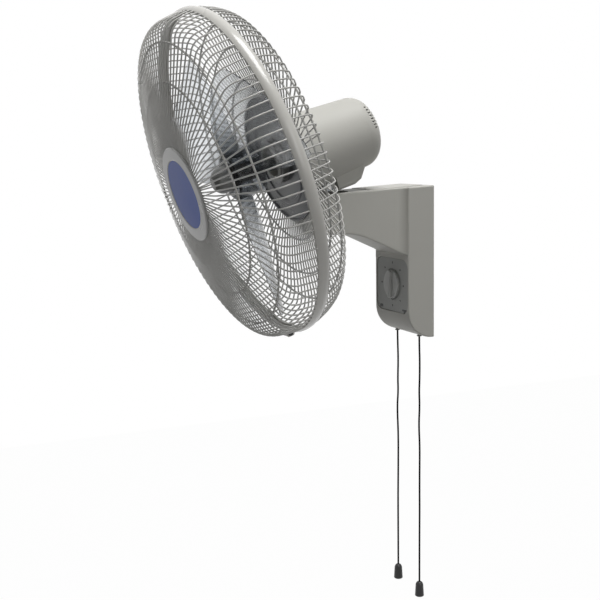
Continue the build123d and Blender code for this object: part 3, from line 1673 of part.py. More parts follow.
def front_wire(r):
    """Where the middle of a front wire is at a radius, and its slope there."""
    if r < front_knee_r:
        slope = (front_knee_s - front_root_s) / (front_knee_r - front_root_r)
    else:
        slope = (front_corner_s - front_knee_s) / (front_corner_r - front_knee_r)
    return front_knee_s + slope * (r - front_knee_r), slope


def rear_wire(r):
    """Where the middle of a rear wire is at a radius, and its slope there."""
    if r < rear_knee_r:
        slope = (rear_knee_s - rear_root_s) / (rear_knee_r - rear_plate_r - wire_root)
    elif r < rear_split_r:
        slope = (rear_split_s - rear_knee_s) / (rear_split_r - rear_knee_r)
    else:
        slope = (rear_shoulder_s - rear_split_s) / (rear_shoulder_r - rear_split_r)
        return rear_split_s + slope * (r - rear_split_r), slope
    return rear_knee_s + slope * (r - rear_knee_r), slope


def hoop_under(wire, r, towards):
    """A hoop that touches the wires of a guard from inside, at a radius."""
    s, slope = wire(r)
    stand = towards * hoop_stand / sqrt(1 + slope**2)
    return hoop(r - slope * stand, s + stand).solid()


rear_root_s = rear_plate_s - rear_plate_t / 2
rear_inner = wire_run(
    [
        (rear_plate_r, rear_root_s),
        (rear_plate_r + wire_root, rear_root_s),
        (rear_knee_r, rear_knee_s),
        (rear_split_r, rear_split_s),
    ],
    12,
)
rear_outer = wire_run(
    [
        (rear_split_r, rear_split_s),
        (rear_shoulder_r, rear_shoulder_s),
        (rear_corner_r, rear_corner_s),
        (rear_side_r, rear_side_s),
        (guard_rim_r, -rim_s - wire_root),
        (guard_rim_r, -rim_s),
    ],
    rear_bend_r,
)
save_group(all_round([rear_inner, rear_outer], rear_wires), "rear_guard_wires")
save_group([hoop_under(rear_wire, r, 1) for r in rear_hoops], "rear_guard_hoops")

# ---------------------------------------------------------------- front guard

front_split_s = front_wire(front_split_r)[0]
front_mid_s = front_wire(front_mid_r)[0]
front_inner = wire_run(
    [(front_root_r, front_root_s), (front_knee_r, front_knee_s), (front_mid_r, front_mid_s)], 60
)
front_middle = wire_run([(front_mid_r, front_mid_s), (front_split_r, front_split_s)], 0)
front_outer = wire_run(
    [
        (front_split_r, front_split_s),
        (front_corner_r, front_corner_s),
        (guard_rim_r, rim_s + wire_root),
        (guard_rim_r, rim_s),
    ],
    front_bend_r,
)
save_group(all_round([front_inner, front_middle, front_outer], front_wires), "front_guard_wires")
save_group([hoop_under(front_wire, r, -1) for r in front_hoops], "front_guard_hoops")

badge_back_s = front_wire(badge_r)[0] + wire_r + seat_gap
badge_seat_s = front_wire(front_root_r)[0] + wire_r + seat_gap
web_front_s = badge_s - badge_inlay_t
with BuildPart() as badge_ring:
    add(
        ring_profile(
            [
                (0, web_front_s - badge_web_t),
                (front_root_r - 2.5, web_front_s - badge_web_t),
                (front_root_r - 1, badge_seat_s),
                (front_root_r, badge_seat_s),
                (badge_r, badge_back_s),
                (badge_r, badge_s - 1),
                (badge_r - 1.5, badge_s + 0.2),
                (badge_inlay_r + 1.5, badge_s + 0.6),
                (badge_inlay_r, badge_s),
                (badge_inlay_r, web_front_s),
                (0, web_front_s),
            ]
        )
    )
save(badge_ring, "badge_ring")

with BuildPart() as badge_inlay:
    with BuildSketch(across.offset(web_front_s)):
        Circle(badge_inlay_r - seat_gap)
    extrude(amount=badge_inlay_t)
    fillet(badge_inlay.faces().sort_by(fan_axis)[-1].edges(), 0.4)
save(badge_inlay, "badge_inlay")

# ---------------------------------------------------------------- guard ring

rim_t = 1.8
rim_inner_r = ring_r - ring_rim
ear_w = 12.0  # the two clamp ears under the band
ear_h = 8.0
ear_inner_x = 2.5
ear_outer_x = 7.5
clamp_at = (0, 4.2)  # the clamp bolt, along the band's width and out from the band
clamp_plane = Plane(origin=fan_centre - fan_up * ring_r, x_dir=fan_dir, z_dir=(1, 0, 0))
band_edge_r = ring_r - ring_bulge
band_wall_r = ring_r - ring_wall
with BuildPart() as guard_ring:
    with BuildSketch(along):
        with BuildLine():
            ThreePointArc((band_edge_r, -rim_s), (ring_r, 0), (band_edge_r, rim_s))
            Polyline(
                (band_edge_r, rim_s),
                (rim_inner_r, rim_s),
                (rim_inner_r, rim_s - rim_t),
                (band_wall_r, rim_s - rim_t),
                (band_wall_r, -rim_s + rim_t),
                (rim_inner_r, -rim_s + rim_t),
                (rim_inner_r, -rim_s),
                (band_edge_r, -rim_s),
            )
        make_face()
    revolve(axis=fan_axis)
    with BuildSketch(along):
        with Locations((-ring_r, 0)):
            Rectangle(20, 20)
    extrude(amount=0.5, both=True, mode=Mode.SUBTRACT)
    for turn in (-1, 1):
        with BuildSketch(clamp_plane.offset(turn * (ear_inner_x + ear_outer_x) / 2)) as ear:
            with Locations((0, (ear_h - 1) / 2)):
                Rectangle(ear_w, ear_h + 1)
            fillet(ear.vertices().group_by(Axis.Y)[-1], 3.5)
        extrude(amount=(ear_outer_x - ear_inner_x) / 2, both=True)
    with BuildSketch(clamp_plane):
        with Locations(clamp_at):
            Circle(small_screw_r + 0.1)
    extrude(amount=2 * ear_outer_x, both=True, mode=Mode.SUBTRACT)
save(guard_ring, "guard_ring")

with BuildPart() as clamp_bolt:
    add(screw(clamp_plane.offset(ear_outer_x), [clamp_at], 3.2, 2.2, small_screw_r, 2 * ear_outer_x + 3.4))
save(clamp_bolt, "clamp_bolt")

with BuildPart() as clamp_nut:
    with BuildSketch(clamp_plane.offset(-ear_outer_x)):
        with Locations(clamp_at):
            RegularPolygon(2.75, 6, major_radius=False)
            Circle(small_screw_r, mode=Mode.SUBTRACT)
    extrude(amount=-2.4)
save(clamp_nut, "clamp_nut")
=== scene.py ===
import bpy
import json
from math import cos, pi, radians, sin
from mathutils import Matrix, Vector


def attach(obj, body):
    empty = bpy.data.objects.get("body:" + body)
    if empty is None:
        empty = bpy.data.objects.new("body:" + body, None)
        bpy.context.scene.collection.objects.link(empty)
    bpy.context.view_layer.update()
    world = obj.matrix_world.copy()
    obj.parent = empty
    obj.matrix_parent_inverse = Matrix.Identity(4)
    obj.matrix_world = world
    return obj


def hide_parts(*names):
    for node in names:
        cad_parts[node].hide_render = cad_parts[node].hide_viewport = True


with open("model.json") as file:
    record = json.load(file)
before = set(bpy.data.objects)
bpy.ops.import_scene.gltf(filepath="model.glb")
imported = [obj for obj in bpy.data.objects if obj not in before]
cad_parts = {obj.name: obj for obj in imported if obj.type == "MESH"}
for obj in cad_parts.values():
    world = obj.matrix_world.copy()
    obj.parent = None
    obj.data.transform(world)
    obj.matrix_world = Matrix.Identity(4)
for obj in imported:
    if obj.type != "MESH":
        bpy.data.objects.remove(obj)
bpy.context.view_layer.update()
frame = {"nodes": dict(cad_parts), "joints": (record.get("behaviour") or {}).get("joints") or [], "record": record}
nodes = frame["nodes"]
jointOf = {joint["name"]: joint for joint in frame["joints"]}
scene = bpy.context.scene
scene.view_settings.view_transform = "Standard"
print("frame loaded:", len(nodes), "nodes")

# the camera stands where the photograph's camera stood
cameraSet = {
    "place": (1.3658, -0.8005, 0.1606),
    "heading": 65.66,  # degrees from +Y towards -X
    "pitch": 7.91,  # degrees down
    "roll": -0.0157,  # radians
    "lens": 66.66,
    "sensor": 36,
    "farEnd": 50,
}


def aimCamera(s):
    heading, pitch = radians(s["heading"]), radians(s["pitch"])
    ahead = Vector((-sin(heading) * cos(pitch), cos(heading) * cos(pitch), -sin(pitch)))
    right = Vector((cos(heading), sin(heading), 0))
    up = right.cross(ahead)
    rolledRight = right * cos(s["roll"]) + up * sin(s["roll"])
    rolledUp = up * cos(s["roll"]) - right * sin(s["roll"])
    turn = Matrix((rolledRight, rolledUp, -ahead)).transposed().to_4x4()
    data = bpy.data.cameras.new("photoCamera")
    data.lens = s["lens"]
    data.sensor_width = s["sensor"]
    data.clip_end = s["farEnd"]
    camera = bpy.data.objects.new("photoCamera", data)
    scene.collection.objects.link(camera)
    camera.matrix_world = Matrix.Translation(s["place"]) @ turn
    scene.camera = camera


aimCamera(cameraSet)
print("camera aimed")

# two pull cords hang from their switches to their pulls, each a little wavy
cordSet = {
    "radius": 0.0013,
    "speedLength": 0.389,
    "swingLength": 0.394,
    "roundness": 4,
    "stepsPerPoint": 12,
    "order": 3,
    "speed": [
        (-0.031, -0.0135, -0.082),
        (-0.031, -0.0135, -0.118),
        (-0.031, -0.0124, -0.150),
        (-0.0312, -0.0132, -0.180),
        (-0.0309, -0.0127, -0.198),
        (-0.0311, -0.0144, -0.222),
        (-0.0312, -0.0126, -0.263),
        (-0.031, -0.0130, -0.310),
        (-0.0308, -0.0137, -0.360),
        (-0.031, -0.0135, -0.412),
        (-0.031, -0.0135, -0.471),
    ],
    "swing": [
        (0.031, -0.0135, -0.082),
        (0.031, -0.0135, -0.120),
        (0.0311, -0.0127, -0.142),
        (0.0309, -0.0129, -0.170),
        (0.0311, -0.0138, -0.187),
        (0.031, -0.0129, -0.208),
        (0.0311, -0.0144, -0.236),
        (0.0308, -0.0126, -0.266),
        (0.0311, -0.0133, -0.315),
        (0.0309, -0.0130, -0.365),
        (0.031, -0.0135, -0.417),
        (0.031, -0.0135, -0.476),
    ],
}


def hangCord(name, route, node, body):
    data = bpy.data.curves.new(name, "CURVE")
    data.dimensions = "3D"
    data.bevel_depth = 1.0  # times each point's own radius, so that the curve's box is true
    data.bevel_resolution = cordSet["roundness"]
    data.resolution_u = cordSet["stepsPerPoint"]
    data.use_fill_caps = True
    spline = data.splines.new("NURBS")
    spline.points.add(len(route) - 1)
    for point, at in zip(spline.points, route):
        point.co = (*at, 1)
        point.radius = cordSet["radius"]
    spline.order_u = cordSet["order"]
    spline.use_endpoint_u = True
    cord = bpy.data.objects.new(name, data)
    scene.collection.objects.link(cord)
    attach(cord, body)
    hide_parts(node)
    return cord


speedCord = hangCord(
    "speedCord", cordSet["speed"], "speed_cord", "speed_line"
)
swingCord = hangCord(
    "swingCord", cordSet["swing"], "swing_cord", "swing_line"
)
print("cords hung")


def feed(tree, socket, value):
    # a socket takes a plain value, or another node's output
    if isinstance(value, bpy.types.NodeSocket):
        tree.links.new(value, socket)
    else:
        socket.default_value = value


def maths(tree, operation, *values):
    node = tree.nodes.new("ShaderNodeMath")
    node.operation = operation
    for socket, value in zip(node.inputs, values):
        feed(tree, socket, value)
    return node.outputs[0]


def mapRange(tree, value, before, after):
    node = tree.nodes.new("ShaderNodeMapRange")
    feed(tree, node.inputs["Value"], value)
    for title, end in zip(("From Min", "From Max", "To Min", "To Max"), (*before, *after)):
        feed(tree, node.inputs[title], end)
    return node.outputs["Result"]


def mixColours(tree, factor, first, second):
    mix = tree.nodes.new("ShaderNodeMix")
    mix.data_type = "RGBA"
    for title, value in (("Factor", factor), ("A", first), ("B", second)):
        feed(tree, mix.inputs[title], value)
    return mix.outputs["Result"]


def addNoise(tree, where, scale, detail):
    noise = tree.nodes.new("ShaderNodeTexNoise")
    noise.inputs["Detail"].default_value = detail
    tree.links.new(where, noise.inputs["Vector"])
    feed(tree, noise.inputs["Scale"], scale)
    return noise.outputs["Fac"]


# a pale floor far below, a white room and three soft lamps
stageSet = {
    "floorHeight": -1.8,
    "floorSize": 12.0,
    "floorShade": 0.86,
    "floorRoughness": 0.9,
    "whiteShare": 0.985,  # the rest of the floor that is seen is paper, which keeps the shadow
}
worldSet = {"ambient": 0.1, "white": (1, 1, 1, 1), "whiteShare": 1.0}
lampSet = {
    # name: place, aim, size, power, colour
    "frontPanel": ((-0.7, -2.0, 1.7), (0, -0.2, 0.0), 1.2, 2.0, (1.0, 1.0, 0.99)),
    "topPanel": ((0.5, -0.1, 2.3), (0, -0.15, 0.0), 1.4, 56.0, (1.0, 1.0, 1.0)),
    "sidePanel": ((2.6, 0.1, 0.9), (0, -0.15, 0.0), 1.4, 12.0, (1.0, 1.0, 0.99)),
}


def seenWhite(tree, plain, seen, share):
    # the camera, a reflection and a clear piece see white, and the plain shader lights the fan
    path = tree.nodes.new("ShaderNodeLightPath").outputs
    direct = maths(tree, "MAXIMUM", path["Is Camera Ray"], path["Is Glossy Ray"])
    anyOf = maths(tree, "MAXIMUM", direct, path["Is Transmission Ray"])
    mix = tree.nodes.new("ShaderNodeMixShader")
    tree.links.new(maths(tree, "MULTIPLY", anyOf, share), mix.inputs["Fac"])
    tree.links.new(plain.outputs[0], mix.inputs[1])
    tree.links.new(seen.outputs[0], mix.inputs[2])
    return mix


def lightWorld(s):
    world = bpy.data.worlds.new("studioWorld")
    world.use_nodes = True
    tree = world.node_tree
    tree.nodes.clear()
    plain = tree.nodes.new("ShaderNodeBackground")
    plain.inputs["Color"].default_value = s["white"]
    plain.inputs["Strength"].default_value = s["ambient"]
    seen = tree.nodes.new("ShaderNodeBackground")
    seen.inputs["Color"].default_value = s["white"]
    out = tree.nodes.new("ShaderNodeOutputWorld")
    mix = seenWhite(tree, plain, seen, s["whiteShare"])
    tree.links.new(mix.outputs[0], out.inputs["Surface"])
    scene.world = world


def layFloor(s):
    half = s["floorSize"] / 2
    mesh = bpy.data.meshes.new("studioFloor")
    corners = [(-half, -half), (half, -half), (half, half), (-half, half)]
    mesh.from_pydata([(x, y, s["floorHeight"]) for x, y in corners], [], [(0, 1, 2, 3)])
    floor = bpy.data.objects.new("studioFloor", mesh)
    scene.collection.objects.link(floor)
    finish = bpy.data.materials.new("floorPaper")
    finish.use_nodes = True
    tree = finish.node_tree
    paper = tree.nodes["Principled BSDF"]
    paper.inputs["Base Color"].default_value = (s["floorShade"],) * 3 + (1,)
    paper.inputs["Roughness"].default_value = s["floorRoughness"]
    glow = tree.nodes.new("ShaderNodeEmission")
    mix = seenWhite(tree, paper, glow, s["whiteShare"])
    tree.links.new(mix.outputs[0], tree.nodes["Material Output"].inputs["Surface"])
    mesh.materials.append(finish)


def hangLamps(lamps):
    for name, (place, aim, size, power, colour) in lamps.items():
        data = bpy.data.lights.new(name, "AREA")
        data.shape = "SQUARE"
        data.size = size
        data.energy = power
        data.color = colour
        lamp = bpy.data.objects.new(name, data)
        scene.collection.objects.link(lamp)
        lamp.location = place
        toward = Vector(aim) - Vector(place)
        lamp.rotation_euler = toward.to_track_quat("-Z", "Y").to_euler()


lightWorld(worldSet)
layFloor(stageSet)
hangLamps(lampSet)
print("stage and lamps set")


def newGroup(name, inputs, outputs):
    group = bpy.data.node_groups.new(name, "ShaderNodeTree")
    for title, kind, value in inputs:
        socket = group.interface.new_socket(title, in_out="INPUT", socket_type=kind)
        socket.default_value = value
    for title, kind in outputs:
        group.interface.new_socket(title, in_out="OUTPUT", socket_type=kind)
    entry = group.nodes.new("NodeGroupInput")
    leave = group.nodes.new("NodeGroupOutput")
    return group, entry.outputs, leave.inputs


def driftGloss(group, entry, noise, span):
    # a roughness that wanders by the drift on either side of the gloss
    low = maths(group, "SUBTRACT", entry["Gloss"], entry["Drift"])
    high = maths(group, "ADD", entry["Gloss"], entry["Drift"])
    return mapRange(group, noise, span, (low, high))


grainSet = {
    "fineDetail": 3.0,
    "slowScale": 9.0,
    "slowDetail": 4.0,
    "slowSpan": (0.3, 0.7),  # where nearly all of the slow noise lies
}


def buildMouldGrain(s):
    # the fine spark-eroded grain of moulded plastic, with a slow drift in gloss
    group, entry, leave = newGroup(
        "mouldGrain",
        [
            ("Scale", "NodeSocketFloat", 900.0),
            ("Gloss", "NodeSocketFloat", 0.5),
            ("Drift", "NodeSocketFloat", 0.08),
        ],
        [("Height", "NodeSocketFloat"), ("Roughness", "NodeSocketFloat")],
    )
    where = group.nodes.new("ShaderNodeTexCoord").outputs["Object"]
    grain = addNoise(group, where, entry["Scale"], s["fineDetail"])
    slow = addNoise(group, where, s["slowScale"], s["slowDetail"])
    group.links.new(grain, leave["Height"])
    group.links.new(driftGloss(group, entry, slow, s["slowSpan"]), leave["Roughness"])
    return group


toneSet = {
    "cloudDetail": 5.0,
    "speckScale": 160.0,
    "speckDetail": 3.0,
    "upSpan": (0.35, 1.0),  # the upward part of a face's direction, from no dust to full dust
}


def buildToneDrift(s):
    # a slow change of shade over a surface, with a little dust on what faces up
    group, entry, leave = newGroup(
        "toneDrift",
        [
            ("Shade", "NodeSocketColor", (0.5, 0.5, 0.5, 1)),
            ("Second Shade", "NodeSocketColor", (0.45, 0.45, 0.45, 1)),
            ("Dust Shade", "NodeSocketColor", (0.6, 0.58, 0.54, 1)),
            ("Scale", "NodeSocketFloat", 6.0),
            ("Dust", "NodeSocketFloat", 0.06),
        ],
        [("Color", "NodeSocketColor")],
    )
    where = group.nodes.new("ShaderNodeTexCoord").outputs["Object"]
    cloud = addNoise(group, where, entry["Scale"], s["cloudDetail"])
    specks = addNoise(group, where, s["speckScale"], s["speckDetail"])
    facing = group.nodes.new("ShaderNodeNewGeometry")
    parts = group.nodes.new("ShaderNodeSeparateXYZ")
    group.links.new(facing.outputs["Normal"], parts.inputs[0])
    upward = mapRange(group, parts.outputs["Z"], s["upSpan"], (0.0, 1.0))
    dust = maths(group, "MULTIPLY", maths(group, "MULTIPLY", upward, specks), entry["Dust"])
    tone = mixColours(group, cloud, entry["Shade"], entry["Second Shade"])
    group.links.new(mixColours(group, dust, tone, entry["Dust Shade"]), leave["Color"])
    return group


lineSet = {"stretch": (1.0, 12.0, 1.0), "detail": 2.0, "span": (0.0, 1.0)}


def buildTurnedLines(s):
    # fine lines left by turning or rolling, along one axis of the piece
    group, entry, leave = newGroup(
        "turnedLines",
        [
            ("Scale", "NodeSocketFloat", 400.0),
            ("Gloss", "NodeSocketFloat", 0.32),
            ("Drift", "NodeSocketFloat", 0.1),
        ],
        [("Height", "NodeSocketFloat"), ("Roughness", "NodeSocketFloat")],
    )
    where = group.nodes.new("ShaderNodeTexCoord").outputs["Object"]
    stretch = group.nodes.new("ShaderNodeMapping")
    stretch.inputs["Scale"].default_value = s["stretch"]
    group.links.new(where, stretch.inputs["Vector"])
    lines = addNoise(group, stretch.outputs[0], entry["Scale"], s["detail"])
    group.links.new(lines, leave["Height"])
    group.links.new(driftGloss(group, entry, lines, s["span"]), leave["Roughness"])
    return group


mouldGrain = buildMouldGrain(grainSet)
toneDrift = buildToneDrift(toneSet)
turnedLines = buildTurnedLines(lineSet)
print("shared effects built")


def shade(red, green, blue):
    # a colour as an image program names it, 0 to 255, turned into linear light
    def linear(value):
        part = value / 255
        return part / 12.92 if part <= 0.04045 else ((part + 0.055) / 1.055) ** 2.4

    return (linear(red), linear(green), linear(blue), 1)


def startFinish(name):
    finish = bpy.data.materials.new(name)
    finish.use_nodes = True
    tree = finish.node_tree
    return finish, tree, tree.nodes["Principled BSDF"]


def placeGroup(tree, group, values):
    node = tree.nodes.new("ShaderNodeGroup")
    node.node_tree = group
    for title, value in values.items():
        node.inputs[title].default_value = value
    return node.outputs


def addBump(tree, skin, height, strength, depth):
    bump = tree.nodes.new("ShaderNodeBump")
    bump.inputs["Strength"].default_value = strength
    bump.inputs["Distance"].default_value = depth
    tree.links.new(height, bump.inputs["Height"])
    tree.links.new(bump.outputs["Normal"], skin.inputs["Normal"])


mouldUsual = {
    "dust": 0.05,
    "grain": 900.0,
    "drift": 0.06,
    "bump": 0.25,
    "bumpDepth": 0.0002,
    "specular": 0.5,
    "coat": 0.0,
    "coatRoughness": 0.15,
}


def mouldedFinish(name, own):
    s = {**mouldUsual, **own}
    finish, tree, skin = startFinish(name)
    tone = placeGroup(
        tree, toneDrift, {"Shade": s["shade"], "Second Shade": s["second"], "Dust": s["dust"]}
    )
    grain = placeGroup(
        tree, mouldGrain, {"Scale": s["grain"], "Gloss": s["gloss"], "Drift": s["drift"]}
    )
    colour = tone["Color"]
    if "print" in s:
        colour = mixColours(tree, s["print"](tree), colour, s["ink"])
    tree.links.new(colour, skin.inputs["Base Color"])
    tree.links.new(grain["Roughness"], skin.inputs["Roughness"])
    addBump(tree, skin, grain["Height"], s["bump"], s["bumpDepth"])
    skin.inputs["Specular IOR Level"].default_value = s["specular"]
    skin.inputs["Coat Weight"].default_value = s["coat"]
    skin.inputs["Coat Roughness"].default_value = s["coatRoughness"]
    return finish


metalUsual = {
    "toneScale": 14.0,
    "dust": 0.03,
    "lines": 300.0,
    "drift": 0.08,
    "bump": 0.12,
    "bumpDepth": 0.0002,
}


def metalFinish(name, own):
    s = {**metalUsual, **own}
    finish, tree, skin = startFinish(name)
    tone = placeGroup(
        tree,
        toneDrift,
        {
            "Shade": s["shade"],
            "Second Shade": s["second"],
            "Scale": s["toneScale"],
            "Dust": s["dust"],
        },
    )
    lines = placeGroup(
        tree, turnedLines, {"Scale": s["lines"], "Gloss": s["gloss"], "Drift": s["drift"]}
    )
    tree.links.new(tone["Color"], skin.inputs["Base Color"])
    tree.links.new(lines["Roughness"], skin.inputs["Roughness"])
    addBump(tree, skin, lines["Height"], s["bump"], s["bumpDepth"])
    skin.inputs["Metallic"].default_value = 1.0
    return finish


bladeSet = {
    "shade": shade(238, 240, 242),
    "second": shade(232, 235, 238),
    "dust": 0.03,
    "grain": 60.0,
    "gloss": 0.06,
    "drift": 0.03,
    "bump": 0.02,
    "bumpDepth": 0.0005,
    "clear": 0.95,
    "ior": 1.3,
    # the hub's own smoky grey; spread out to the second radius, it is also painted shade on the blade roots
    "hubTintAndPaintedShade": shade(122, 126, 130),
    "hubRadius": 0.036,
    "paintedShadeRadius": 0.100,
    "axisPlace": jointOf["fan_spin"]["pos_m"],
    "axis": jointOf["fan_spin"]["axis"],
}


def hubTintAndPaintedShadeMask(tree, s):
    # 1 near the fan's axis, where the hub has its own smoky grey, falling to 0 in the thin blades; the slow fall
    # across the blade roots is painted shade, darkening them as overlapping blade layers would
    where = tree.nodes.new("ShaderNodeTexCoord")
    fromAxis = tree.nodes.new("ShaderNodeVectorMath")
    fromAxis.operation = "SUBTRACT"
    fromAxis.inputs[1].default_value = s["axisPlace"]
    across = tree.nodes.new("ShaderNodeVectorMath")
    across.operation = "CROSS_PRODUCT"
    across.inputs[1].default_value = s["axis"]
    far = tree.nodes.new("ShaderNodeVectorMath")
    far.operation = "LENGTH"
    tree.links.new(where.outputs["Object"], fromAxis.inputs[0])
    tree.links.new(fromAxis.outputs[0], across.inputs[0])
    tree.links.new(across.outputs[0], far.inputs[0])
    return mapRange(tree, far.outputs["Value"], (s["hubRadius"], s["paintedShadeRadius"]), (1.0, 0.0))


def clearFinish(name, s):
    finish, tree, skin = startFinish(name)
    tone = placeGroup(
        tree, toneDrift, {"Shade": s["shade"], "Second Shade": s["second"], "Dust": s["dust"]}
    )
    grain = placeGroup(
        tree, mouldGrain, {"Scale": s["grain"], "Gloss": s["gloss"], "Drift": s["drift"]}
    )
    # hub tint plus painted shade: the grey reaches over the blade roots to darken them as overlapping layers would
    smokyAndShaded = mixColours(tree, hubTintAndPaintedShadeMask(tree, s), tone["Color"], s["hubTintAndPaintedShade"])
    tree.links.new(smokyAndShaded, skin.inputs["Base Color"])
    tree.links.new(grain["Roughness"], skin.inputs["Roughness"])
    addBump(tree, skin, grain["Height"], s["bump"], s["bumpDepth"])
    skin.inputs["Transmission Weight"].default_value = s["clear"]
    skin.inputs["IOR"].default_value = s["ior"]
    return finish


weaveSet = {
    "shade": shade(6, 6, 6),
    "second": shade(15, 15, 15),
    "weave": 700.0,
    "lay": 0.6,  # radians by which the strands lean, one set each way
    "waver": 0.5,
    "bump": 0.5,
    "bumpDepth": 0.0003,
    "roughness": 0.85,
    "specular": 0.05,
}


def wovenFinish(name, s):
    # a thin braided cord: two crossed sets of fine diagonal strands
    finish, tree, skin = startFinish(name)
    where = tree.nodes.new("ShaderNodeTexCoord")
    strands = []
    for lean in (s["lay"], -s["lay"]):
        turned = tree.nodes.new("ShaderNodeMapping")
        turned.inputs["Rotation"].default_value = (lean, lean, 0)
        wave = tree.nodes.new("ShaderNodeTexWave")
        wave.bands_direction = "Z"
        wave.inputs["Scale"].default_value = s["weave"]
        wave.inputs["Distortion"].default_value = s["waver"]
        tree.links.new(where.outputs["Object"], turned.inputs["Vector"])
        tree.links.new(turned.outputs[0], wave.inputs["Vector"])
        strands.append(wave.outputs["Fac"])
    braid = maths(tree, "MAXIMUM", *strands)
    tree.links.new(mixColours(tree, braid, s["shade"], s["second"]), skin.inputs["Base Color"])
    addBump(tree, skin, braid, s["bump"], s["bumpDepth"])
    skin.inputs["Roughness"].default_value = s["roughness"]
    skin.inputs["Specular IOR Level"].default_value = s["specular"]
    return finish


# the small dark marks printed on the control panel
markSet = {
    "dialHeight": jointOf["timer_turn"]["pos_m"][2],
    "ring": 0.0305,  # radius of the ring of marks round the dial
    "length": 0.0015,  # half of a mark's length
    "width": 0.0012,  # half of its width
    "step": pi / 4,
    "turnShift": 8.5,  # whole steps keep the count above 0, and the half sets a mark mid-step
    "gap": (-2.75, -2.0),  # no mark between these angles
    # low and high corner, in x and z, of the small signs over the two pull cords
    "signs": [
        ((-0.036, -0.0708), (-0.0275, -0.0668)),
        ((0.0275, -0.0705), (0.0405, -0.0678)),
        ((0.0315, -0.0732), (0.0370, -0.0704)),
    ],
}


def panelMarks(tree):
    # 1 where there is ink: seven short marks round the dial and a small sign over each cord
    m = markSet

    def step(operation, *values):
        return maths(tree, operation, *values)

    def within(value, low, high):
        off = step("ABSOLUTE", step("SUBTRACT", value, (low + high) / 2))
        return step("LESS_THAN", off, (high - low) / 2)

    parts = tree.nodes.new("ShaderNodeSeparateXYZ")
    where = tree.nodes.new("ShaderNodeTexCoord")
    tree.links.new(where.outputs["Object"], parts.inputs[0])
    x, z = parts.outputs["X"], parts.outputs["Z"]
    rise = step("SUBTRACT", z, m["dialHeight"])
    radius = step("SQRT", step("ADD", step("MULTIPLY", x, x), step("MULTIPLY", rise, rise)))
    angle = step("ARCTAN2", rise, x)
    turn = step("FRACT", step("ADD", step("DIVIDE", angle, m["step"]), m["turnShift"]))
    aside = step("ABSOLUTE", step("SUBTRACT", turn, 0.5))
    off = step("MULTIPLY", step("MULTIPLY", aside, m["step"]), radius)
    inRing = within(radius, m["ring"] - m["length"], m["ring"] + m["length"])
    mark = step("MULTIPLY", step("LESS_THAN", off, m["width"]), inRing)
    mask = step("MULTIPLY", mark, step("SUBTRACT", 1.0, within(angle, *m["gap"])))
    for (left, low), (right, high) in m["signs"]:
        sign = step("MULTIPLY", within(x, left, right), within(z, low, high))
        mask = step("MAXIMUM", mask, sign)
    return mask


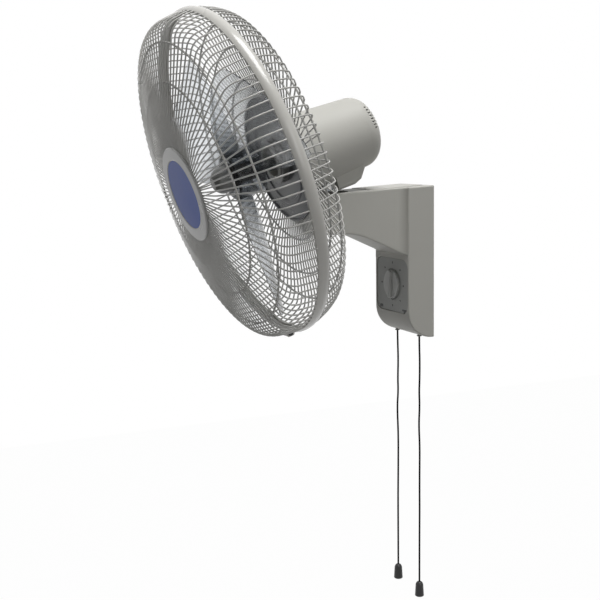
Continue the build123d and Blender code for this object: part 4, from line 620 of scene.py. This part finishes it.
# every finish of the fan, by the material slot that it fills
finishes = {
    "shell_plastic": mouldedFinish(
        "greyShellPlastic",
        {
            "shade": shade(186, 185, 179),
            "second": shade(182, 181, 175),
            "gloss": 0.48,
            "specular": 0.22,
            "bump": 0.18,
        },
    ),
    "panel_plastic": mouldedFinish(
        "panelPlasticPaintedShade",
        {
            # painted shade: this grey is darker than the shell's own grey, standing for the shade on the front
            # face where the panel sits
            "shade": shade(149, 150, 147),
            "second": shade(145, 146, 143),
            "gloss": 0.46,
            "specular": 0.3,
            "dust": 0.03,
            "print": panelMarks,
            "ink": shade(24, 25, 26),
        },
    ),
    "dial_plastic": mouldedFinish(
        "dialPlastic",
        {
            "shade": shade(176, 177, 174),
            "second": shade(172, 173, 170),
            "gloss": 0.36,
            "specular": 0.25,
            "dust": 0.03,
        },
    ),
    "screw_steel": metalFinish(
        "platedScrew",
        {"shade": shade(176, 174, 168), "second": shade(150, 148, 142), "gloss": 0.3},
    ),
    "galvanised_steel": metalFinish(
        "galvanisedSheet",
        {"shade": shade(170, 174, 176), "second": shade(140, 145, 148), "gloss": 0.42},
    ),
    "switch_plastic": mouldedFinish(
        "switchNylon",
        {"shade": shade(214, 210, 196), "second": shade(206, 201, 186), "gloss": 0.45},
    ),
    "slider_plastic": mouldedFinish(
        "sliderAcetal",
        {"shade": shade(226, 224, 218), "second": shade(220, 217, 210), "gloss": 0.35},
    ),
    "capacitor_film": mouldedFinish(
        "capacitorCase",
        {"shade": shade(214, 214, 208), "second": shade(206, 206, 200), "gloss": 0.3},
    ),
    "terminal_plastic": mouldedFinish(
        "terminalNylon",
        {"shade": shade(206, 204, 190), "second": shade(198, 195, 180), "gloss": 0.45},
    ),
    "rubber_black": mouldedFinish(
        "grommetRubber",
        {"shade": shade(34, 34, 34), "second": shade(44, 43, 42), "gloss": 0.7},
    ),
    "bearing_plastic": mouldedFinish(
        "bearingAcetal",
        {"shade": shade(222, 219, 210), "second": shade(214, 211, 201), "gloss": 0.35},
    ),
    "motor_can": metalFinish(
        "drawnCan",
        {"shade": shade(176, 176, 172), "second": shade(158, 158, 154), "gloss": 0.32},
    ),
    "bright_steel": metalFinish(
        "turnedSteel",
        {"shade": shade(190, 190, 188), "second": shade(170, 170, 168), "gloss": 0.25},
    ),
    "cord_weave": wovenFinish("braidedCord", weaveSet),
    "pull_plastic": mouldedFinish(
        "pullPlastic",
        {"shade": shade(16, 16, 16), "second": shade(22, 22, 22), "gloss": 0.35, "dust": 0.02},
    ),
    "neck_casting": mouldedFinish(
        "paintedCasting",
        {
            "shade": shade(120, 119, 114),
            "second": shade(112, 111, 106),
            "gloss": 0.45,
            "grain": 300.0,
        },
    ),
    "spring_steel": metalFinish(
        "oiledSpring",
        {"shade": shade(110, 108, 104), "second": shade(90, 88, 84), "gloss": 0.35},
    ),
    "lamination_steel": metalFinish(
        "laminations",
        {
            "shade": shade(120, 118, 114),
            "second": shade(96, 93, 90),
            "gloss": 0.45,
            "lines": 900.0,
            "bump": 0.3,
        },
    ),
    "copper_enamel": metalFinish(
        "enamelledWinding",
        {
            "shade": shade(170, 92, 48),
            "second": shade(140, 70, 34),
            "gloss": 0.28,
            "lines": 700.0,
            "bump": 0.5,
        },
    ),
    "die_cast": metalFinish(
        "castShield",
        {
            "shade": shade(176, 178, 178),
            "second": shade(160, 162, 162),
            "gloss": 0.5,
            "lines": 160.0,
        },
    ),
    "sintered_bronze": metalFinish(
        "sinteredBronze",
        {"shade": shade(176, 140, 88), "second": shade(150, 116, 70), "gloss": 0.4},
    ),
    "rotor_steel": metalFinish(
        "rotorCage",
        {
            "shade": shade(160, 160, 157),
            "second": shade(130, 130, 126),
            "gloss": 0.4,
            "lines": 900.0,
        },
    ),
    "smoke_blades": clearFinish("smokeBlade", bladeSet),
    "nut_plastic": mouldedFinish(
        "smokeGreyNut",
        {"shade": shade(112, 112, 110), "second": shade(104, 104, 102), "gloss": 0.3, "dust": 0.02},
    ),
    "grey_coated_steel": mouldedFinish(
        "paintedWire",
        {
            "shade": shade(180, 179, 175),
            "second": shade(168, 167, 163),
            "gloss": 0.24,
            "bump": 0.05,
            "coat": 0.35,
        },
    ),
    # painted shade: the plate's dark grey stands for the shadow that lies on it behind the blades
    "rear_plate_steel": mouldedFinish(
        "rearPlatePaintedShade",
        {"shade": shade(66, 68, 70), "second": shade(58, 60, 62), "gloss": 0.3, "dust": 0.02},
    ),
    "dark_screw": metalFinish(
        "blackenedScrew",
        {"shade": shade(70, 70, 70), "second": shade(54, 54, 54), "gloss": 0.35},
    ),
    "ring_plastic": mouldedFinish(
        "greyBand",
        {
            "shade": shade(190, 189, 184),
            "second": shade(186, 184, 178),
            "gloss": 0.24,
            "bump": 0.06,
            "coat": 0.2,
            "dust": 0.03,
        },
    ),
    "badge_trim": mouldedFinish(
        "silverTrim",
        {"shade": shade(184, 184, 182), "second": shade(176, 176, 174), "gloss": 0.22, "bump": 0.04},
    ),
    "badge_face": mouldedFinish(
        "blueDisc",
        {
            "shade": shade(58, 95, 190),
            "second": shade(52, 88, 180),
            "gloss": 0.3,
            "specular": 0.08,
            "dust": 0.01,
            "bump": 0.04,
        },
    ),
}
slotOf = {entry["node"]: entry["material_slot"] for entry in frame["record"]["subparts"]}
for name, piece in nodes.items():
    piece.data.materials.clear()
    piece.data.materials.append(finishes[slotOf[name]])
for cord in (speedCord, swingCord):
    cord.data.materials.append(finishes["cord_weave"])
print("finishes given:", len(finishes))
